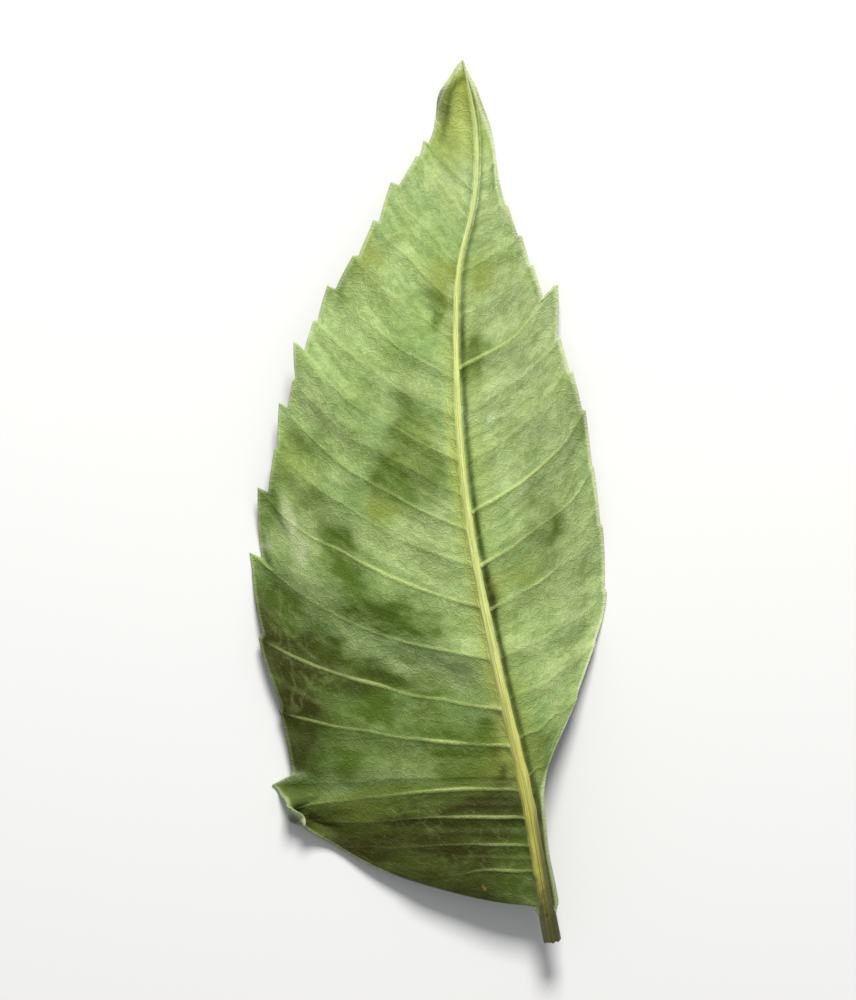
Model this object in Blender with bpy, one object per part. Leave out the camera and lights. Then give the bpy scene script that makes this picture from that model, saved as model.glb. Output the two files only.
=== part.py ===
"""A dried neem leaflet, picked and lying on a surface with its paler, ribbed underside up.

The leaf grew as one piece, so it is one closed solid: a thin toothed blade, the midrib that stiffens
it, the side veins, and the short stalk that it broke off at. Units are metres. +Y runs from the stalk
to the tip, +X is to the right seen from above, +Z is up, and the blade's lowest points lie at Z = 0.

The blade is worked out on a grid. A row is a rib: it leaves the midrib at station s, where s is 0 at
the base of the blade and 1 at its tip, and runs out to one edge. A column is a share of the way along
the ribs, from 0 at the midrib to 1 at the edge.
"""

import bpy
import numpy as np

LEFT, RIGHT = 1, -1

# Overall sizes
BLADE_THICKNESS = 0.0006
MIDRIB_LENGTH = 0.0668
STALK_LENGTH = 0.0030
STALK_RADIUS = 0.00068
STALK_EDGE = 0.00012  # what is left of the blade's thickness at the two sides of the stalk
STALK_START = 0.018  # stations over which the half-round midrib turns into the round stalk
PLAN_CENTRE = (0.0001, -0.0011)  # middle of the leaf in the midrib's coordinates

# Midrib: station, x, y, height of the blade's lower face
MIDRIB = (
    (0.00, 0.0092, -0.0323, 0.0024),
    (0.12, 0.0078, -0.0244, 0.0037),
    (0.28, 0.0054, -0.0140, 0.0055),
    (0.45, 0.0032, -0.0025, 0.0064),
    (0.61, 0.0023, 0.0080, 0.0062),
    (0.75, 0.0025, 0.0170, 0.0048),
    (0.84, 0.0037, 0.0225, 0.0035),
    (0.92, 0.0038, 0.0278, 0.0022),
    (1.00, 0.0028, 0.0330, 0.0027),
)

# Ridge of the midrib: station, half-width, height above the blade
RIDGE = ((0.00, 0.00065, 0.00050), (0.45, 0.00042, 0.00030), (1.00, 0.00015, 0.00006))
RIDGE_BELOW = 0.4  # share of the ridge that also shows on the lower face

# Ribs: station, reach seen from above, degrees from the midrib, degrees that they turn to the tip
LEFT_RIBS = (
    (0.00, 0.0009, 92, 0),
    (0.02, 0.0062, 86, -2),
    (0.05, 0.0126, 82, -3),
    (0.09, 0.0163, 79, -5),
    (0.135, 0.0174, 76, -16),
    (0.18, 0.0178, 77, 12),
    (0.23, 0.0195, 75, 26),
    (0.29, 0.0195, 70, 27),
    (0.43, 0.0171, 62, 26),
    (0.60, 0.0121, 62, 18),
    (0.70, 0.0086, 57, 16),
    (0.80, 0.0066, 58, 14),
    (0.88, 0.0041, 58, 11),
    (0.94, 0.0030, 58, 9),
    (1.00, 0.0003, 50, 0),
)
RIGHT_RIBS = (
    (0.00, 0.0009, 88, 0),
    (0.08, 0.0010, 84, 0),
    (0.14, 0.0019, 78, 6),
    (0.20, 0.0058, 80, 14),
    (0.27, 0.0092, 84, 20),
    (0.34, 0.0109, 80, 24),
    (0.42, 0.0120, 72, 26),
    (0.58, 0.0096, 67, 22),
    (0.74, 0.0055, 60, 14),
    (0.82, 0.0027, 52, 10),
    (0.92, 0.0013, 48, 6),
    (1.00, 0.0003, 40, 0),
)

# Slopes of the ribs in degrees: station, at the midrib, at the edge
LEFT_SLOPES = (
    (0.00, -6, -8),
    (0.06, -9, -23),
    (0.18, -7, -22),
    (0.35, -7, -28),
    (0.75, -10, -28),
    (0.88, -18, -30),
    (0.94, -10, -10),
    (1.00, 10, 20),
)
RIGHT_SLOPES = (
    (0.00, -10, -12),
    (0.10, -16, -18),
    (0.22, -23, -36),
    (0.42, -20, -36),
    (0.66, -22, -38),
    (0.82, -32, -42),
    (0.90, -34, -36),
    (1.00, -30, -10),
)

# Waves of the edges: degrees of slope, waves to the whole length, turn of the wave at the base
LEFT_WAVES = ((6, 3.1, 0.85), (4, 6.7, 0.81))
RIGHT_WAVES = ((6, 2.6, 0.00), (4, 7.3, 0.63))

# Outer part of the ribs that curls up: degrees, and the shares between which it bends
RIM_BEND = (0.80, 0.97)
LEFT_RIM = 24
LEFT_RIM_STARTS = (0.18, 0.27)
RIGHT_RIM = 42
RIGHT_RIM_STARTS = (0.16, 0.30)
RIGHT_RIM_ENDS = (0.75, 0.90)
HOOK = 85  # the corner of the base, which has rolled up tightly
HOOK_STATION = 0.112
HOOK_WIDTH = 0.022

# Side veins: station where each leaves the midrib, depth of the tooth that it ends in
LEFT_VEINS = (
    (0.040, 0.0),
    (0.070, 0.0),
    (0.102, 0.0),
    (0.135, 0.0),
    (0.150, 0.0020),
    (0.188, 0.0004),
    (0.232, 0.0005),
    (0.290, 0.0015),
    (0.350, 0.0012),
    (0.395, 0.0003),
    (0.436, 0.0010),
    (0.476, 0.0002),
    (0.516, 0.0013),
    (0.566, 0.0004),
    (0.612, 0.0008),
    (0.660, 0.0004),
    (0.706, 0.0006),
    (0.752, 0.0008),
    (0.798, 0.0003),
    (0.845, 0.0005),
    (0.892, 0.0002),
)
RIGHT_VEINS = (
    (0.110, 0.0),
    (0.150, 0.0),
    (0.195, 0.0002),
    (0.242, 0.0002),
    (0.290, 0.0003),
    (0.345, 0.0003),
    (0.395, 0.0002),
    (0.455, 0.0004),
    (0.512, 0.0003),
    (0.568, 0.0003),
    (0.625, 0.0018),
    (0.685, 0.0003),
    (0.742, 0.0003),
    (0.800, 0.0002),
    (0.862, 0.0),
)
VEIN_HEIGHT = 0.00016
VEIN_FOOT = 0.00045  # half-width of a vein's ridge
VEIN_FADE = 0.6  # share of the height that a vein at the tip lacks
VEIN_END = 0.3  # share of the height that is left where a vein meets the edge
VEIN_BELOW = 0.5  # share of the height that is pressed into the lower face
TOOTH_FALL = VEIN_FOOT / MIDRIB_LENGTH  # stations from a tooth's point to the notch beyond it
TOOTH_BELLY = 0.8  # power that rounds a tooth's long side
TOOTH_LEAN = 12  # degrees that a tooth leans to the tip
TOOTH_ROOT = 0.84  # share of the rib beyond which the tooth draws the blade out

# The three spots of the edge that the leaf lies on, and the depth that each is pressed flat
RESTS = ((LEFT, 0.285), (RIGHT, 0.29), (LEFT, 0.89))
REST_PRESS = 0.00020

# Grid
RIB_STEPS = 60
RIDGE_COLUMNS = (0.0, 0.45, 0.8, 1.0)
BLADE_COLUMNS = (0.16, 0.36, 0.57, 0.76, 0.90, 1.0)
FULL_WING = 0.0016  # width of blade beyond the ridge at which the columns take their own spacing
SMALLEST_ROW_GAP = 0.003
WIDEST_ROW_GAP = 0.020
STALK_ROWS = 5


def smoothstep(low, high, x):
    t = np.clip((x - low) / (high - low), 0.0, 1.0)
    return t * t * (3 - 2 * t)


def through(table, column, s):
    """Smooth curve through a column of a table: cubic pieces, each leaving in its neighbour's direction."""
    rows = np.array(table)
    knots, values = rows[:, 0], rows[:, column]
    slopes = np.gradient(values, knots)
    i = np.clip(np.searchsorted(knots, s) - 1, 0, len(knots) - 2)
    gap = knots[i + 1] - knots[i]
    t = np.clip((s - knots[i]) / gap, 0.0, 1.0)
    start = (1 + 2 * t) * (1 - t) ** 2 * values[i] + t * (1 - t) ** 2 * gap * slopes[i]
    end = t * t * (3 - 2 * t) * values[i + 1] + t * t * (t - 1) * gap * slopes[i + 1]
    return start + end


def midrib_points(s):
    """Midrib at stations s. Below 0 it runs straight on as the stalk."""
    on_blade = np.stack([through(MIDRIB, c, np.maximum(s, 0.0)) for c in (1, 2, 3)], axis=-1)
    root, next_point = np.array(MIDRIB[0][1:]), np.array(MIDRIB[1][1:])
    outwards = (root - next_point) / np.linalg.norm(root - next_point)
    return on_blade + np.maximum(-s, 0.0)[:, None] * MIDRIB_LENGTH * outwards


def midrib_heading(s):
    """Direction of the midrib seen from above, as an angle from +X."""
    step = 0.004
    ahead = np.clip(s + step, 2 * step, 1.0)
    run = [through(MIDRIB, c, ahead) - through(MIDRIB, c, ahead - 2 * step) for c in (1, 2)]
    return np.arctan2(run[1], run[0])


def stalk_share(s):
    """0 on the blade and 1 on the stalk, where the section is fully round."""
    return smoothstep(0.0, STALK_START, -s)


def to_stalk(on_blade, on_stalk, s):
    """A size on the blade that changes to another on the stalk."""
    return on_blade + (on_stalk - on_blade) * stalk_share(s)


def rib_reach(side, s):
    ribs = LEFT_RIBS if side == LEFT else RIGHT_RIBS
    return to_stalk(through(ribs, 1, np.maximum(s, 0.0)), STALK_RADIUS, s)


def ridge_half_width(s):
    return to_stalk(through(RIDGE, 1, np.maximum(s, 0.0)), STALK_RADIUS, s)


def tooth_depth(side, s):
    """Each tooth rises slowly from the last notch to its vein's end and falls steeply to the next."""
    veins = LEFT_VEINS if side == LEFT else RIGHT_VEINS
    depth = np.zeros_like(s)
    last = veins[0][0]
    for station, height in veins[1:]:
        rise = np.clip((s - last - TOOTH_FALL) / (station - last - TOOTH_FALL), 0.0, 1.0)
        fall = np.clip(1 - (s - station) / TOOTH_FALL, 0.0, 1.0)
        depth += height * np.where(s <= station, rise**TOOTH_BELLY, fall)
        last = station
    return depth


def edge_wave(side, s):
    """Degrees of slope that ripple the edge up and down."""
    waves = LEFT_WAVES if side == LEFT else RIGHT_WAVES
    return sum(size * np.sin(2 * np.pi * (count * s + turn)) for size, count, turn in waves)


def edge_curl(side, s):
    """Degrees that the outer part of a rib turns up."""
    if side == LEFT:
        hook = HOOK * np.exp(-(((s - HOOK_STATION) / HOOK_WIDTH) ** 2))
        return hook + LEFT_RIM * smoothstep(*LEFT_RIM_STARTS, s)
    return RIGHT_RIM * smoothstep(*RIGHT_RIM_STARTS, s) * (1 - smoothstep(*RIGHT_RIM_ENDS, s))


def direction(heading, slope):
    """Unit vector with a heading seen from above and a slope, both in radians."""
    flat = np.cos(slope)
    return np.stack([flat * np.cos(heading), flat * np.sin(heading), np.sin(slope)], axis=-1)


def rib_points(side, s, shares):
    """Points of the blade's lower face along the ribs at stations s, at given shares of each rib.

    A rib bends down and to the tip as it goes, so its points are running sums of short steps.
    """
    ribs, slopes = (LEFT_RIBS, LEFT_SLOPES) if side == LEFT else (RIGHT_RIBS, RIGHT_SLOPES)
    blade_s = np.maximum(s, 0.0)
    t = np.linspace(0.0, 1.0, RIB_STEPS + 1)[None, :]
    inner, outer = (through(slopes, c, blade_s)[:, None] for c in (1, 2))
    slope = inner + (outer - inner) * t + edge_wave(side, blade_s)[:, None] * t**2
    slope = np.radians(slope + edge_curl(side, blade_s)[:, None] * smoothstep(*RIM_BEND, t))
    angle, turn = (through(ribs, c, blade_s)[:, None] for c in (2, 3))
    heading = midrib_heading(blade_s)[:, None] + side * np.radians(angle - turn * t)
    steps = direction(heading, slope)
    middles = (steps[:, 1:] + steps[:, :-1]) / 2
    runs = np.concatenate([np.zeros_like(middles[:, :1]), np.cumsum(middles, axis=1)], axis=1)
    length = rib_reach(side, s) / np.cos(slope).mean(axis=1) / RIB_STEPS
    at = np.clip(shares, 0.0, 1.0) * RIB_STEPS
    low = np.minimum(at.astype(int), RIB_STEPS - 1)
    part = (at - low)[:, :, None]
    rows = np.arange(len(s))[:, None]
    along = (runs[rows, low] * (1 - part) + runs[rows, low + 1] * part) * length[:, None, None]
    lean = heading[:, -1] - side * np.radians(TOOTH_LEAN)
    draw = smoothstep(TOOTH_ROOT, 1.0, shares) * tooth_depth(side, s)[:, None]
    teeth = draw[:, :, None] * direction(lean, slope[:, -1])[:, None]
    return midrib_points(s)[:, None] + along + teeth


def column_shares(side, s):
    """Shares of the ribs at the columns: some across the midrib's ridge, the rest out to the edge."""
    reach, ridge = rib_reach(side, s)[:, None], ridge_half_width(s)[:, None]
    wing = reach - ridge
    spaced = np.hstack([ridge * np.array(RIDGE_COLUMNS), ridge + wing * np.array(BLADE_COLUMNS)])
    even = reach * np.linspace(0.0, 1.0, spaced.shape[1])
    weight = smoothstep(0.0, FULL_WING, wing)
    return (weight * spaced + (1 - weight) * even) / reach


def vein_relief(side, s, shares):
    """Ridges of the side veins, which lose height to the edge and to the tip of the leaf."""
    veins = LEFT_VEINS if side == LEFT else RIGHT_VEINS
    relief = np.zeros_like(s)
    for station, _ in veins:
        height = VEIN_HEIGHT * (1 - VEIN_FADE * station)
        relief += height * np.clip(1 - np.abs(s - station) * MIDRIB_LENGTH / VEIN_FOOT, 0.0, 1.0)
    return relief[:, None] * (1 + (VEIN_END - 1) * shares)


def ridge_relief(side, s, shares):
    """Half-round ridge of the midrib, which the stalk carries on."""
    across = shares * rib_reach(side, s)[:, None] / ridge_half_width(s)[:, None]
    height = to_stalk(through(RIDGE, 2, np.maximum(s, 0.0)), STALK_RADIUS, s)
    return height[:, None] * np.sqrt(np.clip(1 - across**2, 0.0, 1.0))


def surface_normals(points):
    """Unit normals of a grid of points, from the directions of its rows and columns."""
    normals = np.cross(np.gradient(points, axis=1), np.gradient(points, axis=0))
    return normals / np.linalg.norm(normals, axis=-1, keepdims=True)


def row_stations():
    """Stations of the rows: every vein's crest and feet, the stalk, and more where the gap is wide."""
    crests = {station for station, _ in LEFT_VEINS + RIGHT_VEINS}
    kept = [0.0, 1.0, *sorted(crests)]
    for foot in sorted([c - TOOTH_FALL for c in crests] + [c + TOOTH_FALL for c in crests]):
        if min(abs(foot - other) for other in kept) > SMALLEST_ROW_GAP:
            kept.append(foot)
    kept.sort()
    rows = [np.linspace(-STALK_LENGTH / MIDRIB_LENGTH, 0.0, STALK_ROWS, endpoint=False)]
    for start, end in zip(kept, kept[1:]):
        parts = int(np.ceil((end - start) / WIDEST_ROW_GAP))
        rows.append(np.linspace(start, end, parts, endpoint=False))
    return np.concatenate([*rows, [1.0]])


def settled(points):
    """The blade tipped and dropped until its three resting spots reach just below the surface."""
    spots = [rib_points(side, np.array([s]), np.ones((1, 1)))[0, 0] for side, s in RESTS]
    spots = np.array(spots)
    plane = np.linalg.solve(np.c_[spots[:, :2], np.ones(3)], spots[:, 2] + REST_PRESS)
    down = points[:, :, :2] @ plane[:2] + plane[2]
    return points - down[:, :, None] * np.array([0.0, 0.0, 1.0])


def leaf_faces():
    """Upper and lower faces of the leaf, as grids of points from the left edge to the right edge."""
    s = row_stations()
    lower, above, below = [], [], []
    for side, columns in ((LEFT, slice(None, None, -1)), (RIGHT, slice(1, None))):
        shares = column_shares(side, s)
        veins, ridge = vein_relief(side, s, shares), ridge_relief(side, s, shares)
        lower.append(rib_points(side, s, shares)[:, columns])
        above.append(np.maximum(veins, ridge)[:, columns])
        below.append((RIDGE_BELOW * ridge - VEIN_BELOW * veins)[:, columns])
    lower, above, below = settled(np.hstack(lower)), np.hstack(above), np.hstack(below)
    normals = surface_normals(lower)
    below = to_stalk(below, above, s[:, None])
    thickness = to_stalk(BLADE_THICKNESS, STALK_EDGE, s[:, None])
    upper = lower + normals * (thickness + above)[:, :, None]
    lower = lower - normals * below[:, :, None]
    pressed = np.maximum(-lower[:, :, 2], 0.0)
    for face in (upper, lower):
        face[:, :, 2] += pressed
        face[:, :, :2] -= PLAN_CENTRE
    return upper, lower


def grid_triangles(number):
    """Two triangles to each cell of a grid of point numbers, facing up."""
    corner, right = number[:-1, :-1].ravel(), number[:-1, 1:].ravel()
    ahead, across = number[1:, :-1].ravel(), number[1:, 1:].ravel()
    return np.vstack([np.c_[corner, right, across], np.c_[corner, across, ahead]])


def wall_triangles(upper, lower):
    """Strip between two lines of point numbers, facing out where the lines run clockwise."""
    first = np.c_[upper[:-1], upper[1:], lower[1:]]
    return np.vstack([first, np.c_[upper[:-1], lower[1:], lower[:-1]]])


def leaf_mesh():
    """Closed mesh of the leaf: two faces split into the same triangles, and a wall round them."""
    upper, lower = leaf_faces()
    count = upper.shape[0] * upper.shape[1]
    number = np.arange(count).reshape(upper.shape[:2])
    rim = np.concatenate([number[:-1, 0], number[-1, :-1], number[:0:-1, -1], number[0, ::-1]])
    triangles = np.vstack(
        [grid_triangles(number), grid_triangles(number)[:, ::-1] + count, wall_triangles(rim, rim + count)]
    )
    mesh = bpy.data.meshes.new("neem_leaf")
    points = np.vstack([upper.reshape(-1, 3), lower.reshape(-1, 3)])
    mesh.from_pydata(points.tolist(), [], triangles.tolist())
    mesh.shade_smooth()
    mesh.set_sharp_from_angle(angle=np.radians(50))
    return mesh


def leaf_material():
    material = bpy.data.materials.new("dried_leaf")
    material.use_nodes = True
    shader = material.node_tree.nodes["Principled BSDF"]
    shader.inputs["Base Color"].default_value = (0.22, 0.34, 0.12, 1.0)
    shader.inputs["Roughness"].default_value = 0.55
    shader.inputs["Metallic"].default_value = 0.0
    return material


def main():
    for thing in list(bpy.data.objects):
        bpy.data.objects.remove(thing)
    leaf = bpy.data.objects.new("neem_leaf", leaf_mesh())
    leaf.data.materials.append(leaf_material())
    bpy.context.scene.collection.objects.link(leaf)


main()
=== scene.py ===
"""Looks of a dried neem leaflet that lies with its paler, ribbed underside up.

The leaflet is three pieces that grew together: the left half of the blade, the right half, and the midrib
with its short stalk. Each is a closed surface worked out from two numbers. Along the leaf runs the station,
0 at the base of the blade and 1 at its tip. Along each rib, which leaves the midrib at one station and runs
out to the edge, goes the share, 0 at the midrib and 1 at the edge. Lengths are in metres where nothing else
is said. +Y runs from the stalk to the tip, +Z is up, and the leaf rests on Z = 0.
"""

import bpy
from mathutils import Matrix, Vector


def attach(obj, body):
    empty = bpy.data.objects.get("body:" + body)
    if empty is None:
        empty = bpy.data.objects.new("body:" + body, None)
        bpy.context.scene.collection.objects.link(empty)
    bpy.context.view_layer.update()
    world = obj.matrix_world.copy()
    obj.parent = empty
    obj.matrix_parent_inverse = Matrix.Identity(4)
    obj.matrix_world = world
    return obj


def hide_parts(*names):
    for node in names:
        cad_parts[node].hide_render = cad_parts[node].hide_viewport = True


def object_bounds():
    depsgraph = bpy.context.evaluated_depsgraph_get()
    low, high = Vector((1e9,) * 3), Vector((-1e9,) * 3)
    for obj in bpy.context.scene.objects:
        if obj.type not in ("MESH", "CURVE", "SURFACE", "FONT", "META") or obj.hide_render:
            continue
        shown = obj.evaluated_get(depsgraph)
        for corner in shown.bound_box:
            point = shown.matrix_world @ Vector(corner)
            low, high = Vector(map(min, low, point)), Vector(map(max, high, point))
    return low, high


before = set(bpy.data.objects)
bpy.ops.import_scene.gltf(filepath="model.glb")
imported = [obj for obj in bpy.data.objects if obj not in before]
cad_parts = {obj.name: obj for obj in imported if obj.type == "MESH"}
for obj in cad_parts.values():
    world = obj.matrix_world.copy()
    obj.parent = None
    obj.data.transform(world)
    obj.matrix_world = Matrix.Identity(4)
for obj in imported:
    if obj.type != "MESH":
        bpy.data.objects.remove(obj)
SOLID_BOX = [list(corner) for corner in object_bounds()]

import bpy
import numpy as np
from bpy.props import FloatProperty, FloatVectorProperty, PointerProperty

bl_info = {
    "name": "Dried neem leaflet",
    "version": (1, 0, 0),
    "blender": (4, 5, 0),
    "location": "3D View > Sidebar > Leaflet",
    "description": "Builds a dried neem leaflet, its midrib and the stage that it is shown on",
    "category": "Add Mesh",
}

LEFT, RIGHT = 1, -1
MM = 0.001

# Midrib and stalk
MIDRIB_LENGTH = 0.0668
STALK_LENGTH = 0.0030
STALK_RADIUS = 0.00068
STALK_CREST = 0.00080
STALK_START = 0.018  # stations over which the midrib turns into the round stalk
STALK_EDGE = 0.0004  # reach of the blade where it ends in the stalk
MIDDLE_ON_BLADE = 0.00013  # middle of the midrib's section above the blade's lower face
MIDDLE_ON_STALK = 0.00006

# Place on the floor
PLAN_CENTRE = (0.0001, -0.0011)  # middle of the leaf in the midrib's coordinates
RESTS = ((LEFT, 0.285), (RIGHT, 0.29), (LEFT, 0.89))  # spots of the edge that the leaf lies on
REST_PRESS = 0.00020  # depth that each is pressed flat
SOFT_LANDING = 0.00015  # height over which the blade bends flat onto the floor

# Distances between neighbouring points of the meshes, and how far they crowd together at some places
ROW = 0.00017
TOP_COLUMN = 0.00015
BACK_COLUMN = 0.00036
ROW_CROWDING = 0.6
COLUMN_CROWDING = 0.45
FIRST_SHARE = 0.004
RIB_STEPS = 240
ROWS_MEET = 0.1  # station up to which the stalk's rows of the midrib go
STALK_ROWS, MIDRIB_ROWS, MIDRIB_COLUMNS = 70, 400, 44
TIP_ROWS = 0.93  # station between the last vein and the tip that the rows crowd around

# Sky and main light
SKY_COLOUR = (0.96, 0.98, 1.0)
KEY_COLOUR = (1.0, 0.985, 0.95)
KEY_SIZE, KEY_PLACE = 0.16, (0.03, 0.34, 0.34)

# Midrib: station, x, y, height of the blade's lower face
MIDRIB = (
    (0.00, 0.0092, -0.0323, 0.0024),
    (0.12, 0.0078, -0.0244, 0.0037),
    (0.28, 0.0054, -0.0140, 0.0055),
    (0.45, 0.0032, -0.0025, 0.0064),
    (0.61, 0.0023, 0.0080, 0.0062),
    (0.75, 0.0025, 0.0170, 0.0048),
    (0.84, 0.0037, 0.0225, 0.0035),
    (0.92, 0.0038, 0.0278, 0.0022),
    (1.00, 0.0028, 0.0330, 0.0027),
)

# Midrib's section: station, half-width, height of its crest above the blade's lower face, depth below it
STRAND = (
    (0.00, 0.00056, 0.00098, 0.00020),
    (0.10, 0.00050, 0.00092, 0.00018),
    (0.20, 0.00044, 0.00084, 0.00015),
    (0.45, 0.00033, 0.00066, 0.00012),
    (0.75, 0.00022, 0.00052, 0.00006),
    (0.95, 0.00015, 0.00040, 0.00003),
    (1.00, 0.00005, 0.00028, 0.00001),
)

# Ribs: station, reach seen from above, degrees from the midrib, degrees that they turn to the tip
RIBS = {
    LEFT: (
        (0.00, 0.0009, 92, 0), (0.02, 0.0062, 86, -2), (0.05, 0.0126, 82, -3), (0.09, 0.0163, 79, -5),
        (0.135, 0.0174, 76, -16), (0.18, 0.0178, 77, 12), (0.23, 0.0195, 75, 26), (0.29, 0.0195, 70, 27),
        (0.43, 0.0171, 62, 26), (0.60, 0.0121, 62, 18), (0.70, 0.0086, 57, 16), (0.80, 0.0066, 58, 14),
        (0.88, 0.0041, 58, 11), (0.94, 0.0030, 58, 9), (1.00, 0.00012, 50, 0),
    ),
    RIGHT: (
        (0.00, 0.0009, 88, 0), (0.08, 0.0010, 84, 0), (0.14, 0.0019, 78, 6), (0.20, 0.0058, 80, 14),
        (0.27, 0.0092, 84, 20), (0.34, 0.0109, 80, 24), (0.42, 0.0120, 72, 26), (0.58, 0.0096, 67, 22),
        (0.74, 0.0055, 60, 14), (0.82, 0.0027, 52, 10), (0.92, 0.0013, 48, 6), (1.00, 0.00012, 40, 0),
    ),
}

# Slopes of the ribs in degrees: station, at the midrib, at the edge
SLOPES = {
    LEFT: (
        (0.00, -6, -8), (0.06, -9, -23), (0.18, -7, -22), (0.35, -7, -28), (0.75, -10, -28),
        (0.88, -18, -30), (0.94, -10, -10), (1.00, 10, 20),
    ),
    RIGHT: (
        (0.00, -10, -12), (0.10, -16, -18), (0.22, -23, -36), (0.42, -20, -36), (0.66, -22, -38),
        (0.82, -32, -42), (0.90, -34, -36), (1.00, -30, -10),
    ),
}

# Waves of the edges: degrees of slope, waves to the whole length, turn of the wave at the base
WAVES = {
    LEFT: ((6, 3.1, 0.85), (4, 6.7, 0.81)),
    RIGHT: ((6, 2.6, 0.00), (4, 7.3, 0.63)),
}

# What curls up, in degrees: the rims, the tip as a gutter, and the left corner of the base as a roll. Starts
# and ends are the stations between which each sets in and dies out, and bends are shares of the rib
LEFT_RIM, LEFT_RIM_STARTS = 24, (0.18, 0.27)
RIGHT_RIM, RIGHT_RIM_STARTS, RIGHT_RIM_ENDS = 42, (0.16, 0.30), (0.75, 0.90)
RIM_BEND = (0.80, 0.97)
TIP_CURL, TIP_CURL_STARTS, TIP_CURL_ENDS = 60, (0.89, 0.96), (0.95, 1.0)
TIP_CURL_BEND = (0.1, 0.9)
ROLL, ROLL_ENDS, ROLL_BEND = 165, (0.134, 0.150), (0.85, 0.97)
ROLL_STATION, ROLL_WIDTH = 0.118, 0.027  # its middle and its width along the midrib
ROLL_LENGTH = 0.0033  # blade that the ribs have for it

# Side veins: station where each leaves the midrib, depth of the tooth that it ends in, how strongly it shows
VEINS = {
    LEFT: (
        (0.040, 0.0, 0.4), (0.070, 0.0, 0.55), (0.102, 0.0, 0.65), (0.135, 0.0, 0.9), (0.150, 0.0020, 0.1),
        (0.188, 0.0004, 1.0), (0.232, 0.0005, 0.9), (0.290, 0.0015, 0.5), (0.350, 0.0012, 0.9),
        (0.395, 0.0003, 0.3), (0.436, 0.0010, 0.5), (0.476, 0.0002, 0.1), (0.516, 0.0013, 0.4),
        (0.566, 0.0004, 0.15), (0.612, 0.0008, 0.4), (0.660, 0.0004, 0.2), (0.706, 0.0006, 0.35),
        (0.752, 0.0008, 0.4), (0.798, 0.0003, 0.15), (0.845, 0.0005, 0.2), (0.892, 0.0002, 0.1),
    ),
    RIGHT: (
        (0.110, 0.0, 0.2), (0.150, 0.0, 0.3), (0.195, 0.0002, 0.4), (0.242, 0.0002, 0.3),
        (0.290, 0.0003, 0.25), (0.345, 0.0003, 0.7), (0.395, 0.0002, 1.0), (0.455, 0.0004, 0.9),
        (0.512, 0.0003, 0.2), (0.568, 0.0003, 0.15), (0.625, 0.0018, 0.9), (0.685, 0.0003, 0.2),
        (0.742, 0.0003, 0.2), (0.800, 0.0002, 0.15), (0.862, 0.0, 0.1),
    ),
}
TOOTH_FALL = 0.00045 / MIDRIB_LENGTH  # stations from a tooth's point to the notch beyond it
TOOTH_BELLY = 0.8  # power that rounds a tooth's long side
TOOTH_LEAN = 12  # degrees that a tooth leans to the tip
TOOTH_ROOT = 0.84  # share of the rib beyond which the tooth draws the blade out
WANDER = 0.0045  # stations that the rows stray up and down the leaf
BELOW_VEINS = 0.35  # share of the veins' height that is pressed into the lower face
EDGE_ANGLES = np.radians([36, 72, 108, 144])  # places of the points round the edge

# Relief in millimetres. Bends of the dry blade: size along X and Y, shift, seed and strength of each layer
BENDS = ((7.5, 9.5, 3, 21, 1.0), (3.1, 3.7, 0, 22, 0.45))
HOLLOW = {LEFT: (0.096, 0.7, 0.55), RIGHT: (0.224, 0.7, 0.55)}  # depth, distance from the midrib, half-width
FILLET = (0.18, 0.22)  # height beside the midrib, distance over which it dies out
VEIN_FOOT, HIGH_VEIN_FOOT, NEAR_VEIN_FOOT = 0.07, 0.15, 0.12  # half-width, and more where high or near
NET_CELL, NET_WALL, NET_BEND, NET_PATCH = 1.05, 0.24, 0.9, 2.6
SWELLING_LENGTH = 0.0006 / MIDRIB_LENGTH  # stations along the midrib that a vein's root swells
TORN_RINGS = ((0.30, 0.00022), (0.62, 0.00010), (0.86, -0.00010))  # share of the stalk's size, depth inside
TORN_DEPTH = 0.00012
TORN_MIDDLE = 0.0002  # depth of the point that closes the broken end
TIP_LENGTH = 0.00012  # distance of the points that close the tip

# Pale rim: strength, width in millimetres
PALE_RIM = {LEFT: (0.25, 0.30), RIGHT: (1.0, 0.42)}

# Yellow strip along the midrib: strength, distance in millimetres, strength at the tip
YELLOW_STRIP = {LEFT: (1.0, 0.5, 0.75), RIGHT: (0.3, 1.5, 0.4)}

# Folds that drying left, in the midrib's coordinates in millimetres: from x, y to x, y, height, half-width
FOLDS = (
    (-13.5, -4.0, -9.0, -6.8, 0.70, 1.9), (-9.0, -6.8, -3.0, -9.0, 0.75, 1.9),
    (-3.0, -9.0, 3.5, -13.2, 0.55, 1.6), (-12.0, -12.0, -5.0, -14.4, -0.45, 1.9),
    (-5.0, -14.4, 2.0, -16.0, -0.40, 1.6), (-11.4, -0.6, -9.6, -6.2, 0.35, 0.6),
    (-9.0, 8.5, -4.2, 4.2, 0.28, 1.4), (-3.2, 9.0, -1.6, 0.0, -0.35, 1.5),
    (-6.8, -4.6, -5.4, -7.2, -0.30, 1.0), (-5.0, 18.5, -0.5, 11.0, 0.20, 1.1),
    (8.6, -1.2, 9.8, -6.4, -0.30, 1.2), (6.5, 10.0, 11.0, 3.0, 0.20, 1.8),
    (-8.0, -21.5, 2.0, -21.9, 0.20, 1.3),
)

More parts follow.
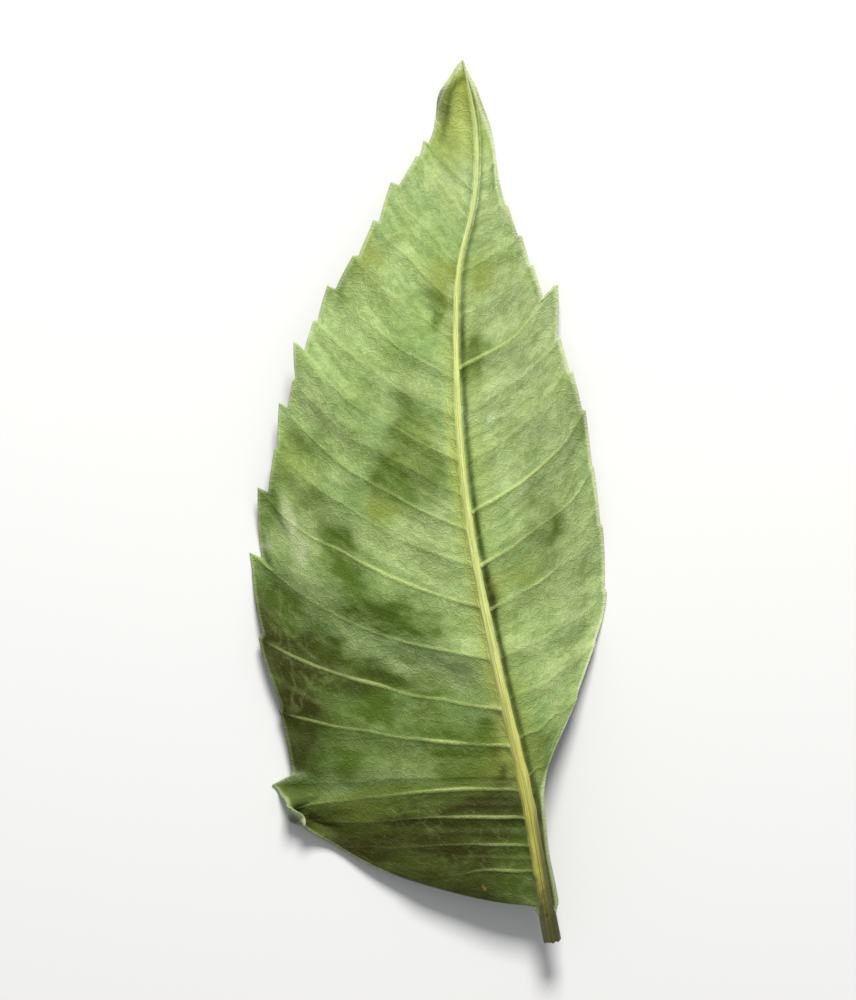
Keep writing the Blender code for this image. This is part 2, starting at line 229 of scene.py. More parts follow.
# Places of colour and of painted light and shade, in the midrib's coordinates: x and y in millimetres,
# half-lengths along X and Y, strength
PLACES = {
    "olive": (
        (3.0, 31.5, 3.0, 3.6, 1.0), (1.5, 27.0, 1.6, 2.0, 0.6), (4.2, 16.6, 1.7, 1.6, 0.8),
        (1.4, 15.9, 0.9, 1.8, 0.8), (-4.6, 18.2, 1.2, 2.2, 0.8), (5.0, -8.3, 1.0, 1.5, 1.0),
        (7.3, -6.8, 1.4, 1.1, 0.8), (-3.5, -1.9, 1.3, 1.0, 1.0), (-10.5, 1.2, 1.6, 1.8, 0.5),
        (-4.0, -26.0, 5.0, 2.0, 0.7), (6.2, -20.5, 1.8, 3.4, 0.9), (3.0, -23.5, 3.4, 1.2, 0.6),
        (-1.0, 3.2, 1.2, 2.0, 0.4),
    ),
    # Dried brown of the base and the left margin, and painted shade below the left notch
    "brown": (
        (-13.0, -10.4, 1.9, 3.2, 1.1), (-10.6, -12.6, 2.2, 1.8, 0.9), (-5.0, -15.4, 2.8, 1.0, 0.9),
        (-7.8, -13.6, 2.0, 1.0, 0.9), (-10.6, -18.4, 2.6, 3.8, 1.6), (-8.8, -26.2, 1.6, 0.8, 0.7),
        (-6.6, -27.0, 2.8, 1.5, 0.9), (0.0, -27.2, 4.2, 2.2, 1.2), (4.4, -26.0, 3.0, 2.4, 1.3),
        (0.0, -30.6, 7.5, 3.2, 1.3), (6.2, -24.0, 1.3, 2.0, 0.7), (5.4, -8.6, 0.6, 1.6, 0.5),
    ),
    # Darker green of the leaf, and painted shade: on the slopes of the lower left that turn from the light,
    # below the left notch and in a strip beside the midrib
    "deep": (
        (-2.6, 1.2, 1.6, 1.9, 1.3), (-1.5, 5.0, 1.6, 3.0, 0.9), (-4.4, 6.8, 1.6, 1.4, 0.5),
        (0.6, 1.3, 1.2, 2.6, 0.8), (-1.6, -1.0, 1.6, 1.0, 0.7), (0.6, 13.8, 1.1, 2.0, 1.2),
        (-12.0, -0.8, 1.2, 2.2, 0.9), (-9.6, 3.0, 1.6, 1.3, 0.7), (-8.6, -0.8, 1.8, 1.4, 0.8),
        (-7.4, -4.4, 1.4, 1.9, 1.2), (-6.2, -6.8, 1.5, 1.6, 1.1), (-5.0, -9.2, 1.6, 1.1, 1.2),
        (-2.6, -9.9, 2.0, 1.3, 1.3), (0.0, -11.2, 1.8, 1.1, 1.3), (-10.2, -10.8, 2.2, 1.7, 1.5),
        (-12.4, -9.6, 1.6, 3.0, 1.5), (-8.8, -13.4, 2.8, 1.4, 1.5), (-4.8, -15.4, 2.8, 1.2, 1.5),
        (0.8, -15.6, 2.0, 1.2, 0.8), (-9.8, -18.6, 3.4, 4.2, 1.6), (-5.4, -17.8, 4.6, 2.2, 1.0),
        (-4.4, -21.4, 4.4, 1.6, 0.7), (1.0, -18.6, 3.4, 2.4, 0.7), (-4.0, -25.4, 6.0, 1.7, 1.0),
        (3.8, -21.6, 3.2, 2.2, 1.3), (4.8, -20.0, 1.4, 2.4, 0.9), (4.0, -26.0, 4.4, 3.0, 1.5),
        (-4.0, -28.0, 8.0, 2.6, 1.5), (3.0, -31.0, 7.0, 3.2, 1.3), (3.5, 9.6, 0.9, 2.6, 1.1),
        (9.6, -3.4, 1.2, 2.4, 1.0), (5.4, -8.2, 1.0, 1.6, 1.1), (12.0, 4.4, 1.2, 4.4, 0.4),
        (8.4, 3.2, 1.6, 2.0, 0.3), (9.2, -21.4, 1.2, 2.2, 0.9), (-6.4, 16.4, 1.0, 2.2, 0.8),
        (-3.2, 18.6, 1.0, 1.4, 0.3), (0.4, 21.2, 2.0, 2.2, 0.3), (6.9, 11.0, 1.8, 2.8, 0.25),
    ),
    # Paler patches of the leaf; the one at -10.4, -3.2 by the left edge is a painted highlight where crinkles
    # catch the light
    "pale": (
        (-0.2, -4.8, 2.4, 3.2, 2.4), (-10.4, -3.2, 0.8, 2.6, 1.6), (-9.2, -7.6, 1.6, 0.9, 0.6),
        (2.4, 24.0, 2.0, 1.8, 0.2), (-3.0, 15.5, 2.0, 2.4, 0.7), (-7.2, 10.4, 2.4, 2.4, 0.8),
        (-9.6, 7.8, 1.4, 2.0, 0.8), (-6.6, 3.4, 1.4, 1.1, 0.9), (-7.8, 5.6, 1.8, 1.6, 1.1),
        (7.6, -8.8, 1.6, 1.6, 0.8), (6.2, 0.0, 1.5, 3.0, 0.8), (12.0, -4.5, 1.4, 3.2, 0.8),
        (9.2, -12.5, 2.0, 3.4, 0.9), (4.0, -12.5, 0.7, 2.0, 0.5),
    ),
    "dry": (
        (9.0, 6.0, 4.0, 9.0, 1.0), (6.0, 14.0, 3.0, 6.0, 1.0), (3.0, 24.5, 2.6, 3.2, 1.0),
        (11.5, -6.0, 2.6, 6.0, 0.7), (-0.4, -3.6, 2.4, 2.8, 0.4), (-10.6, -17.6, 2.2, 4.6, 0.5),
    ),
}

# Small spots that keep their shape: painted highlights, whitish where crinkles and curled edges catch the
# light, and brown ones in the angles beside the midrib
PAINTED_HIGHLIGHTS = (
    (-11.1, -1.8, 0.45, 1.0, 0.9), (-10.5, -3.4, 0.40, 1.1, 1.0), (-9.9, -5.2, 0.40, 1.1, 0.9),
    (-12.8, -4.6, 0.9, 0.35, 0.7), (5.0, 5.3, 0.32, 0.36, 1.2), (-11.6, -22.9, 0.8, 0.35, 0.7),
    (-10.3, -22.5, 0.9, 0.35, 0.7), (3.4, 5.2, 0.30, 0.30, 0.6),
)
# Partly brown specks and partly painted shade: in the angles and the groove beside the midrib and on the
# rolled-over strip of the left corner
BROWN_AND_SHADE_FLECKS = (
    (5.3, -20.3, 0.45, 0.8, 1.0), (4.7, -18.3, 0.7, 0.35, 0.7), (5.9, -22.1, 0.4, 0.7, 1.0),
    (-9.9, -24.7, 0.8, 0.9, 0.8), (-10.7, -23.6, 1.1, 0.4, 0.6), (4.7, -7.4, 0.30, 0.9, 0.9),
    (5.2, -9.0, 0.28, 0.8, 1.0), (3.6, 10.2, 0.35, 0.9, 0.8), (1.3, 14.2, 0.5, 0.8, 0.6),
)

# Rolling hills in millimetres that make the outlines of the places ragged, in layers like those of the bends
RAGGED_ASIDE = ((1.9, 1.5, 0, 51, 0.8), (0.8, 0.6, 0, 52, 0.4))
RAGGED_AHEAD = ((2.1, 1.3, 0, 53, 0.8), (0.9, 0.5, 0, 54, 0.4))

# Values that a half of the blade carries on its points besides those of the places
FACE_VALUES = ("gap", "fade", "lesser", "net", "out", "rim", "along")

# Coats of colour, one over the other: colour, strength, the value that it follows (None for all over), its
# even share, and the patches that make the rest: what they follow, size in millimetres, how often longer
# than wide, seed, and the levels of the noise between which they set in (no patches where all is even)
UNDERSIDE_COATS = (
    ("blue_green", 0.6, None, 0.0, ("rib", 2.2, 2.0, 7.0, 0.46, 0.62)),
    ("dry_sage", 0.7, "dry", 0.6, ("place", 2.4, 1.0, 9.0, 0.35, 0.60)),
    ("pale_sage", 0.8, "pale", 0.5, ("rib", 1.8, 2.0, 10.0, 0.35, 0.60)),
    ("deep_green", 0.34, None, 0.0, ("rib", 0.9, 3.2, 12.0, 0.42, 0.62)),
    ("vein", 0.12, "fine net", 1.0, None),
    ("vein", 0.22, "net", 1.0, None),
    # Deep places: darker green patches, and painted shade on slopes and hollows that lie in shade
    ("deep_green", 1.0, "deep", 0.72, ("rib", 1.2, 2.4, 14.0, 0.36, 0.60)),
    ("deep_green", 0.18, None, 0.0, ("place", 0.7, 1.0, 17.0, 0.46, 0.62)),
    ("olive", 1.0, "olive", 0.55, ("rib", 2.0, 2.0, 22.0, 0.30, 0.60)),
    ("fringe", 0.55, "golden", 1.0, None),
    # Brown places: dried brown, and painted shade below the left notch, beside the midrib and in the hollows
    ("brown", 1.0, "brown", 0.7, ("rib", 1.4, 3.0, 27.0, 0.35, 0.60)),
    ("vein", 0.14, "net", 0.0, ("place", 2.6, 1.0, 31.0, 0.40, 0.60)),
    ("rust", 0.6, None, 0.0, ("place", 0.8, 1.0, 33.0, 0.68, 0.76)),
    ("deep_green", 0.24, "beside veins", 1.0, None),
)
UPPER_FACE_COATS = (
    ("leaf_green", 0.4, None, 0.0, ("place", 0.7, 1.0, 57.0, 0.45, 0.62)),
    ("olive", 0.7, "olive", 0.0, ("rib", 2.0, 2.0, 22.0, 0.25, 0.55)),
    ("brown", 0.8, "brown", 0.0, ("rib", 1.4, 3.0, 27.0, 0.30, 0.60)),
    ("sage", 0.18, "fine net", 1.0, None),
    ("vein", 0.7, "side veins", 1.0, None),
    ("rim", 0.5, "rim", 1.0, None),
)


def smoothstep(low, high, x):
    """0 at low, 1 at high and beyond, and between them 3t^2 - 2t^3, where t is the share of the way."""
    t = np.clip((x - low) / (high - low), 0.0, 1.0)
    return t * t * (3 - 2 * t)


def bell(values, middle, width):
    """exp(-t^2), where t is the distance from the middle in widths."""
    return np.exp(-(((values - middle) / width) ** 2))


def crowded(x, share):
    """x from 0 to 1 crowded towards both ends: x - share sin(2 pi x) / (2 pi)."""
    return x - share * np.sin(2 * np.pi * x) / (2 * np.pi)


def through(table, column, s):
    """Smooth curve through a column of a table: cubic pieces, each leaving in its neighbour's direction."""
    rows = np.array(table)
    knots, values = rows[:, 0], rows[:, column]
    slopes = np.gradient(values, knots)
    i = np.clip(np.searchsorted(knots, s) - 1, 0, len(knots) - 2)
    gap = knots[i + 1] - knots[i]
    t = np.clip((s - knots[i]) / gap, 0.0, 1.0)
    start = (1 + 2 * t) * (1 - t) ** 2 * values[i] + t * (1 - t) ** 2 * gap * slopes[i]
    end = t * t * (3 - 2 * t) * values[i + 1] + t * t * (t - 1) * gap * slopes[i + 1]
    return start + end


def lattice(i, j, seed):
    """A fixed number from 0 to 1 for each point of a square lattice: the broken part of a large sine."""
    return np.mod(np.sin(i * 127.1 + j * 311.7 + seed * 74.7) * 43758.5453, 1.0)


def soft_noise(x, y, seed):
    """Rolling hills from -1 to 1, one to each lattice square: lattice numbers joined by smoothsteps."""
    i, j = np.floor(x), np.floor(y)
    a, b = x - i, y - j
    a, b = a * a * (3 - 2 * a), b * b * (3 - 2 * b)
    near = lattice(i, j, seed) * (1 - a) + lattice(i + 1, j, seed) * a
    far = lattice(i, j + 1, seed) * (1 - a) + lattice(i + 1, j + 1, seed) * a
    return 2 * (near * (1 - b) + far * b) - 1


def hills(x, y, layers):
    """Sum of layers of rolling hills, each with its sizes along x and y, shift, seed and strength."""
    total = 0.0
    for wide, long, shift, seed, strength in layers:
        total = total + strength * soft_noise(x / wide + shift, y / long, seed)
    return total


def cell_walls(x, y, seed):
    """Distance to the wall between cells: second nearest centre's distance less the nearest one's.

    Each lattice square holds one centre, moved off its corner by two lattice numbers.
    """
    i, j = np.floor(x), np.floor(y)
    first, second = np.full_like(x, 9.0), np.full_like(x, 9.0)
    for di in (-1, 0, 1):
        for dj in (-1, 0, 1):
            across = i + di + lattice(i + di, j + dj, seed) - x
            along = j + dj + lattice(i + di, j + dj, seed + 1) - y
            far = np.hypot(across, along)
            second = np.minimum(second, np.maximum(first, far))
            first = np.minimum(first, far)
    return second - first


def unit(vectors):
    """Vectors divided by their lengths."""
    return vectors / np.linalg.norm(vectors, axis=-1, keepdims=True)


def direction(heading, slope):
    """Unit vector with a heading seen from above and a slope, both in radians."""
    flat = np.cos(slope)
    return np.stack([flat * np.cos(heading), flat * np.sin(heading), np.sin(slope)], axis=-1)


def midrib_points(s):
    """Midrib at stations s: a smooth curve through its table. Below 0 it runs straight on as the stalk."""
    on_blade = np.stack([through(MIDRIB, c, np.maximum(s, 0.0)) for c in (1, 2, 3)], axis=-1)
    root, next_point = np.array(MIDRIB[0][1:]), np.array(MIDRIB[1][1:])
    return on_blade + np.maximum(-s, 0.0)[:, None] * MIDRIB_LENGTH * unit(root - next_point)


def midrib_heading(s):
    """Direction of the midrib seen from above, as an angle from +X."""
    step = 0.004
    ahead = np.clip(s + step, 2 * step, 1.0)
    run = [through(MIDRIB, c, ahead) - through(MIDRIB, c, ahead - 2 * step) for c in (1, 2)]
    return np.arctan2(run[1], run[0])


def to_stalk(on_blade, on_stalk, s):
    """A size on the blade that changes to another one on the round stalk, by a smoothstep."""
    return on_blade + (on_stalk - on_blade) * smoothstep(0.0, STALK_START, -s)


def tooth_depth(side, s):
    """Each tooth rises slowly from the last notch to its vein's end and falls steeply to the next."""
    depth = np.zeros_like(s)
    last = VEINS[side][0][0]
    for station, height, _ in VEINS[side][1:]:
        rise = np.clip((s - last - TOOTH_FALL) / (station - last - TOOTH_FALL), 0.0, 1.0)
        fall = np.clip(1 - (s - station) / TOOTH_FALL, 0.0, 1.0)
        depth += height * np.where(s <= station, rise**TOOTH_BELLY, fall)
        last = station
    return depth


def edge_wave(side, s):
    """Degrees of slope that ripple the edge up and down: a sum of sine waves along the midrib."""
    return sum(size * np.sin(2 * np.pi * (count * s + turn)) for size, count, turn in WAVES[side])


def edge_curl(side, s):
    """Degrees that the outer part of a rib turns up as a rim, set in and out by smoothsteps."""
    if side == LEFT:
        return LEFT_RIM * smoothstep(*LEFT_RIM_STARTS, s)
    return RIGHT_RIM * smoothstep(*RIGHT_RIM_STARTS, s) * (1 - smoothstep(*RIGHT_RIM_ENDS, s))


def corner_roll(side, s):
    """Share, up to 1, that the left corner rolls up: a bell curve, cut off softly below the next tooth."""
    if side == RIGHT:
        return 0 * s
    return bell(s, ROLL_STATION, ROLL_WIDTH) * (1 - smoothstep(*ROLL_ENDS, s))


def rib_points(side, s, shares):
    """Points of the blade's lower face at stations s and shares, and the length of each rib.

    A rib sets out at its angle to the midrib and turns evenly. Its slope goes evenly from one value to
    another, with the edge's wave as the square of the share and the rim, the tip's curl and the rolled
    corner as smoothsteps of it. The points are running sums of short steps, drawn out to the rib's length,
    which is what gives its reach seen from above. Each tooth adds a smoothstep of the outer shares.
    """
    on_blade = np.maximum(s, 0.0)
    t = np.linspace(0.0, 1.0, RIB_STEPS + 1)
    inner, outer = (through(SLOPES[side], c, on_blade)[:, None] for c in (1, 2))
    slope = inner + (outer - inner) * t + edge_wave(side, on_blade)[:, None] * t**2
    slope = slope + edge_curl(side, on_blade)[:, None] * smoothstep(*RIM_BEND, t)
    curl = TIP_CURL * smoothstep(*TIP_CURL_STARTS, on_blade) * (1 - smoothstep(*TIP_CURL_ENDS, on_blade))
    slope = np.radians(slope + curl[:, None] * smoothstep(*TIP_CURL_BEND, t))
    unrolled = np.cos(slope).mean(axis=1)
    roll = corner_roll(side, on_blade)
    slope = slope + np.radians(ROLL) * roll[:, None] * smoothstep(*ROLL_BEND, t)
    angle, turn = (through(RIBS[side], c, on_blade)[:, None] for c in (2, 3))
    heading = midrib_heading(on_blade)[:, None] + side * np.radians(angle - turn * t)

    ways = direction(heading, slope)
    steps = (ways[:, 1:] + ways[:, :-1]) / 2
    runs = np.concatenate([np.zeros_like(steps[:, :1]), np.cumsum(steps, axis=1)], axis=1)
    reach = to_stalk(through(RIBS[side], 1, on_blade), STALK_EDGE, s)
    length = reach / unrolled + ROLL_LENGTH * roll
    at = shares * RIB_STEPS
    low = np.minimum(at.astype(int), RIB_STEPS - 1)
    part = (at - low)[:, None]
    along = (runs[:, low] * (1 - part) + runs[:, low + 1] * part) * (length / RIB_STEPS)[:, None, None]
    lean = heading[:, -1] - side * np.radians(TOOTH_LEAN)
    draw = smoothstep(TOOTH_ROOT, 1.0, shares) * tooth_depth(side, s)[:, None]
    teeth = draw[:, :, None] * direction(lean, slope[:, -1])[:, None]
    return midrib_points(s)[:, None] + along + teeth, length


def settled(points):
    """Points moved as the leaf lies: tipped onto its three resting spots, arched to the solid's height."""
    spots = np.array([rib_points(side, np.array([s]), np.ones(1))[0][0, 0] for side, s in RESTS])
    plane = np.linalg.solve(np.c_[spots[:, :2], np.ones(3)], spots[:, 2] + REST_PRESS)
    s = np.linspace(0.0, 1.0, 200)
    line, crest = midrib_points(s), through(STRAND, 2, s)
    heights = line[:, 2] - line[:, :2] @ plane[:2] - plane[2]
    top = np.argmax(heights + crest)
    arch = (SOLID_BOX[1][2] - crest[top]) / heights[top]
    x, y, z = np.moveaxis(points, -1, 0)
    z = (z - x * plane[0] - y * plane[1] - plane[2]) * arch
    return np.stack([x - PLAN_CENTRE[0], y - PLAN_CENTRE[1], z], axis=-1)


def closed_tube(name, rings, foot, tip):
    """Mesh of closed rings one after another, rows of the array, ended by a point at each end.

    Rings run clockwise seen from the foot, so that the faces point out.
    """
    rows, around = rings.shape[:2]
    number = np.arange(rows * around).reshape(rows, around)
    ahead = np.roll(number, -1, axis=1)
    quads = np.stack([number[:-1], ahead[:-1], ahead[1:], number[1:]], axis=-1).reshape(-1, 4)
    foot_fan = np.c_[ahead[0], number[0], np.full(around, rows * around)]
    tip_fan = np.c_[number[-1], ahead[-1], np.full(around, rows * around + 1)]
    faces = np.vstack([quads[:, [0, 1, 2]], quads[:, [0, 2, 3]], foot_fan, tip_fan])
    points = np.vstack([rings.reshape(-1, 3), foot, tip])
    if not np.isfinite(points).all():
        raise ValueError(f"{name} has points that are not numbers")
    mesh = bpy.data.meshes.new(name)
    mesh.from_pydata(points, [], faces)
    mesh.shade_smooth()
    return mesh


def add_attribute(mesh, name, values, ends):
    """A number at each point of the rings, with the two end points' own numbers after them."""
    attribute = mesh.attributes.new(name, "FLOAT", "POINT")
    attribute.data.foreach_set("value", np.append(values.ravel(), ends).astype(np.float32))


def plan(points):
    """x and y of points in the midrib's coordinates in millimetres, as the tables of places give them."""
    return (points[..., 0] + PLAN_CENTRE[0]) / MM, (points[..., 1] + PLAN_CENTRE[1]) / MM


def place_strength(places, points, ragged=1.0):
    """Sum of soft spots: each has its strength at its middle and falls off as a bell curve.

    Rolling hills move each point a little before it is compared, so that the spots get ragged outlines.
    """
    x, y = plan(points)
    x, y = x + ragged * hills(x, y, RAGGED_ASIDE), y + ragged * hills(x, y, RAGGED_AHEAD)
    total = sum(strength * bell(x, px, wide) * bell(y, py, long) for px, py, wide, long, strength in places)
    return np.clip(total, 0.0, 1.0)


def fold_height(x, y):
    """Folds at x, y in millimetres: bell curves of the distance to straight stretches of crest or hollow.

    Of several crests that meet the highest counts, and of several hollows the deepest.
    """
    crest, hollow = np.zeros_like(x), np.zeros_like(x)
    for x1, y1, x2, y2, height, width in FOLDS:
        run, rise = x2 - x1, y2 - y1
        t = np.clip(((x - x1) * run + (y - y1) * rise) / (run**2 + rise**2), 0.0, 1.0)
        fold = height * bell(np.hypot(x - x1 - t * run, y - y1 - t * rise), 0.0, width)
        crest, hollow = np.maximum(crest, fold), np.minimum(hollow, fold)
    return (crest + hollow) * MM


def row_stations(side, spacing):
    """Stations of the rows: one on each vein, crowded beside it and wider apart between veins."""
    knots = [-STALK_START, 0.0, *(vein[0] for vein in VEINS[side]), TIP_ROWS, 1.0]
    rows = []
    for start, end in zip(knots, knots[1:]):
        count = int(np.ceil((end - start) * MIDRIB_LENGTH / spacing)) + 4
        rows.append(start + (end - start) * crowded(np.arange(count) / count, ROW_CROWDING))
    return np.concatenate([*rows, [1.0]])


def column_shares(side, spacing):
    """Shares of the columns, crowded at the midrib and at the edge."""
    reach = through(RIBS[side], 1, row_stations(side, ROW)).max()
    x = np.linspace(0.0, 1.0, int(reach / spacing))
    return FIRST_SHARE + (1 - FIRST_SHARE) * crowded(x, COLUMN_CROWDING)


def wandering(points, side, s, shares):
    """Rows that stray a little, as veins do: each point is read from a place slightly up or down the leaf.

    The stray is rolling hills times sin(pi share), so that the midrib and the edge stay as they are, and
    it dies out towards the first and the last row, which would otherwise run into their neighbours.
    """
    rows = s[:, None]
    stray = soft_noise(rows * 17 + 3 * side, shares * 3.2, 11)
    stray = stray + 0.4 * soft_noise(rows * 40 + side, shares * 8, 12)
    ends = smoothstep(0.0, 0.05, rows) * smoothstep(s[-1], s[-1] - 0.03, rows)
    wanted = rows + WANDER * ends * stray * np.sin(np.pi * shares)
    low = np.clip(np.searchsorted(s, wanted) - 1, 0, len(s) - 2)
    part = ((wanted - s[low]) / (s[low + 1] - s[low]))[:, :, None]
    columns = np.arange(len(shares))
    return points[low, columns] * (1 - part) + points[low + 1, columns] * part


def vein_places(points, side, s, shares, out):
    """What each point needs to know of the side veins.

    gap and strength: millimetres to the nearest vein and how strongly that shows, which varies along it.
    between and width: the way from one vein to the next, 0 to 1, and their distance in millimetres.
    fork: millimetres to a weaker branch, which leaves each vein on its tip side and ends half-way to the
    next, and forked: how strongly it shows.
    """
    stations, _, strengths = np.array(VEINS[side]).T
    along = np.gradient(points, s, axis=0)
    across = unit(np.gradient(points, axis=1))
    apart = np.linalg.norm(along - (along * across).sum(axis=-1, keepdims=True) * across, axis=-1) / MM
    nearest = np.searchsorted((stations[1:] + stations[:-1]) / 2, s)
    patchy = 0.8 + 0.5 * soft_noise(out / 2.7, nearest[:, None] * 3.7, 14)
    tail = 1 - 0.8 * smoothstep(0.16, 0.11, s)[:, None] * smoothstep(0.2, 0.6, shares)
    count = np.interp(s, stations, np.arange(len(stations)))
    last = np.clip(np.floor(count).astype(int), 0, len(stations) - 2)
    between = (count - last)[:, None] + 0 * out
    width = (stations[last + 1] - stations[last])[:, None] * apart
    leaves = 0.35 + 0.35 * lattice(last, 0, 5 + side)[:, None]
    forked = smoothstep(leaves, leaves + 0.12, shares) * (0.3 + 0.7 * strengths[last])[:, None]
    return {
        "gap": np.abs(s - stations[nearest])[:, None] * apart,
        "strength": np.clip(strengths[nearest][:, None] * patchy * tail, 0.0, 1.0),
        "between": between,
        "width": width,
        "fork": np.abs(between - 0.5 * smoothstep(leaves, 1.05, shares)) * width,
        "forked": forked * smoothstep(0.8, 1.8, width),
    }


def rim_strength(side, s, inside):
    """How strongly the pale rim shows, inside millimetres from the edge. It is widest and strongest where the
    edge is rolled, at the tip and at the left corner, where the extra is painted highlight on the rolled
    crest.
    """
    rolled = (smoothstep(0.87, 0.93, s) + corner_roll(side, s))[:, None]
    patchy = 0.5 + 0.5 * soft_noise(s[:, None] * 21, side, 36)
    strength, width = PALE_RIM[side]
    strength = strength + 0.4 * patchy + 1.1 * rolled
    return np.clip(strength, 0.0, 1.8) * (1 - smoothstep(0.10, width + 0.28 * rolled, inside))


def blade_sway(side, s, face, settings):
    """How far the sheet sways up or down.

    Between two veins it sinks as a pillow does, by sin^2 of the way from one to the next. Bends and puckers
    are rolling hills. Folds are added, and all this dies out at the midrib and the edge. Beside the midrib
    the blade sinks by a bell curve of the distance.
    """
    x, y = face["place"]
    pillow = np.sin(np.pi * face["between"]) ** 2 * np.clip(face["width"] / 3, 0, 1.2)
    puckers = soft_noise(face["along"] / 1.1, face["out"] / 2.6 + 40, 23)
    puckers = puckers + 0.6 * soft_noise(x / 0.8, y / 0.8, 24)
    sway = settings.crumple_depth * hills(x, y, BENDS) - settings.pillow_depth * pillow
    sway = sway + settings.pucker_depth * puckers
    depth, away, wide = HOLLOW[side]
    hollow = depth * MM * bell(face["beside"], away, wide) * smoothstep(0.0, 0.1, s)[:, None]
    return face["calm"] * (sway + fold_height(*plan(face["sheet"]))) - hollow


def blade_relief(s, shares, face, settings):
    """Ridges on the sheet, and how strongly each kind of vein shows.

    Each vein is a bell curve of its distance, higher and wider near the midrib, and so are its fork and the
    weaker vein between two. The net is low walls between cells of about a millimetre. The fillet, which
    leads up to the midrib, falls off as exp(-distance).
    """
    x, y = face["place"]
    fade = (1 - 0.65 * shares) * (1 - 0.5 * np.clip(s, 0, 1)[:, None])
    shown = fade * (0.2 + 0.8 * face["strength"])
    foot = VEIN_FOOT + HIGH_VEIN_FOOT * fade + NEAR_VEIN_FOOT * np.exp(-face["beside"] / 0.7)
    vein = shown * (1 + 0.7 * np.exp(-face["beside"] / 0.8)) * bell(face["gap"], 0.0, foot)
    middle = np.abs(face["between"] - 0.5) * face["width"]
    lesser = 0.3 * fade * smoothstep(0.6, 0.3, shares) * bell(middle, 0.0, 0.12)
    lesser = np.maximum(lesser, 0.6 * shown * face["forked"] * bell(face["fork"], 0.0, 0.13))
    bend, turn = (soft_noise(x / NET_BEND, y / NET_BEND, seed) for seed in (33, 34))
    walls = cell_walls(x / NET_CELL + 0.4 * bend, y / NET_CELL + 0.4 * turn, 31)
    patchy = 0.3 + 0.7 * smoothstep(-0.6, 0.6, soft_noise(x / NET_PATCH, y / NET_PATCH, 35))
    net = (1 - smoothstep(0.0, NET_WALL, walls)) * face["calm"] * patchy
    return {
        "vein": vein,
        "lesser": np.clip(lesser * 2.0, 0, 1),
        "net": net,
        "fade": np.clip(fade * face["strength"] * smoothstep(1.0, 0.9, shares) * 1.3, 0, 1),
        "ridges": settings.vein_height * np.maximum(vein, lesser) + settings.net_height * net,
        "fillet": FILLET[0] * MM * np.exp(-face["beside"] / FILLET[1]),
    }


def blade_face(side, s, shares, settings):
    """One face of a half of the blade for the rows s and the columns shares: its sheet and what lies on it.

    The sheet is the ribs' points, settled, with rows that wander. Of their height h it takes
    (h + sqrt(h^2 + c^2)) / 2, which stays above the floor.
    """
    points, rib_length = rib_points(side, s, shares)
    sheet = wandering(settled(points), side, s, shares)
    height = sheet[:, :, 2]
    sheet[:, :, 2] = (height + np.sqrt(height**2 + SOFT_LANDING**2)) / 2
    out = shares * rib_length[:, None] / MM
    half = through(STRAND, 1, np.clip(s, 0, 1))[:, None] / MM
    face = {
        "sheet": sheet,
        "place": (sheet[:, :, 0] / MM, sheet[:, :, 1] / MM),
        "normal": unit(side * np.cross(np.gradient(sheet, axis=0), np.gradient(sheet, axis=1))),
        "out": out,
        "inside": (1 - shares) * rib_length[:, None] / MM,
        "along": s[:, None] * MIDRIB_LENGTH / MM + 0 * shares,
        "beside": np.clip(out - half, 0.0, None),
        "calm": smoothstep(0.0, 2.5, out) * smoothstep(1.0, 0.93, shares),
    }
    face.update(vein_places(sheet, side, s, shares, out))
    face.update(blade_relief(s, shares, face, settings))
    face["sway"] = blade_sway(side, s, face, settings)
    face["rim"] = rim_strength(side, s, face["inside"])
    return face


def half_rings(s, shares, top, below, settings):
    """Closed rings of one half: over the top from the midrib to the edge, round the edge, and back below.

    The blade thins towards its edge and the tip by smoothsteps. The edge is half a circle as thick as the
    blade is there.
    """
    pointed = 0.25 + 0.75 * smoothstep(1.0, 0.95, s)[:, None]
    thin = settings.thickness * (1 - 0.3 * smoothstep(0.6, 1.0, shares)) * pointed
    lift = top["sway"] + thin + (top["ridges"] + top["fillet"]) * pointed
    upper = top["sheet"] + top["normal"] * lift[:, :, None]
    drop = below["sway"] + BELOW_VEINS * settings.vein_height * below["vein"]
    lower = (below["sheet"] + below["normal"] * drop[:, :, None])[:, ::-1]

    centre, half = (upper[:, -1] + lower[:, 0]) / 2, (upper[:, -1] - lower[:, 0]) / 2
    outwards = unit(upper[:, -1] - upper[:, -3]) * np.linalg.norm(half, axis=-1, keepdims=True)
    edge = [centre + half * np.cos(angle) + outwards * np.sin(angle) for angle in EDGE_ANGLES]
    rings = np.concatenate([upper, np.stack(edge, axis=1), lower], axis=1)
    rings[:, :, 2] = np.maximum(rings[:, :, 2], 0.0)
    return rings


def side_shades(side, out, inside, along):
    """Yellow strips and painted shade along the midrib and the edge: bell curves of distances in millimetres.

    The blade is yellower beside the midrib. On the right painted shade lies against it as a dark strip, in
    the groove beside the midrib, and on the left painted shade fills the hollows inside the curled margin of
    the tip and inside the rolled corner.
    """
    strength, away, at_tip = YELLOW_STRIP[side]
    golden = strength * bell(out, away, 0.6) * smoothstep(6.0, 12.0, along) * smoothstep(50.0, 34.0, along)
    tip = smoothstep(57.0, 61.5, along)
    if side == RIGHT:
        # Painted shade in the groove beside the midrib
        dark = bell(out, 0.62, 0.32) * smoothstep(54.0, 42.0, along)
        return golden + at_tip * tip, dark * (0.75 + 0.5 * smoothstep(34.0, 28.0, along))
    # Painted shade in the hollow inside the curled margin of the tip and inside the rolled corner
    trough = bell(inside, 1.05, 0.35) * smoothstep(66.5, 65.0, along)
    corner = bell(inside, 1.15, 0.45) * bell(along, ROLL_STATION * MIDRIB_LENGTH / MM, 1.3)
    return golden + at_tip * tip * (1 - trough), 0.6 * trough * tip + 0.9 * corner


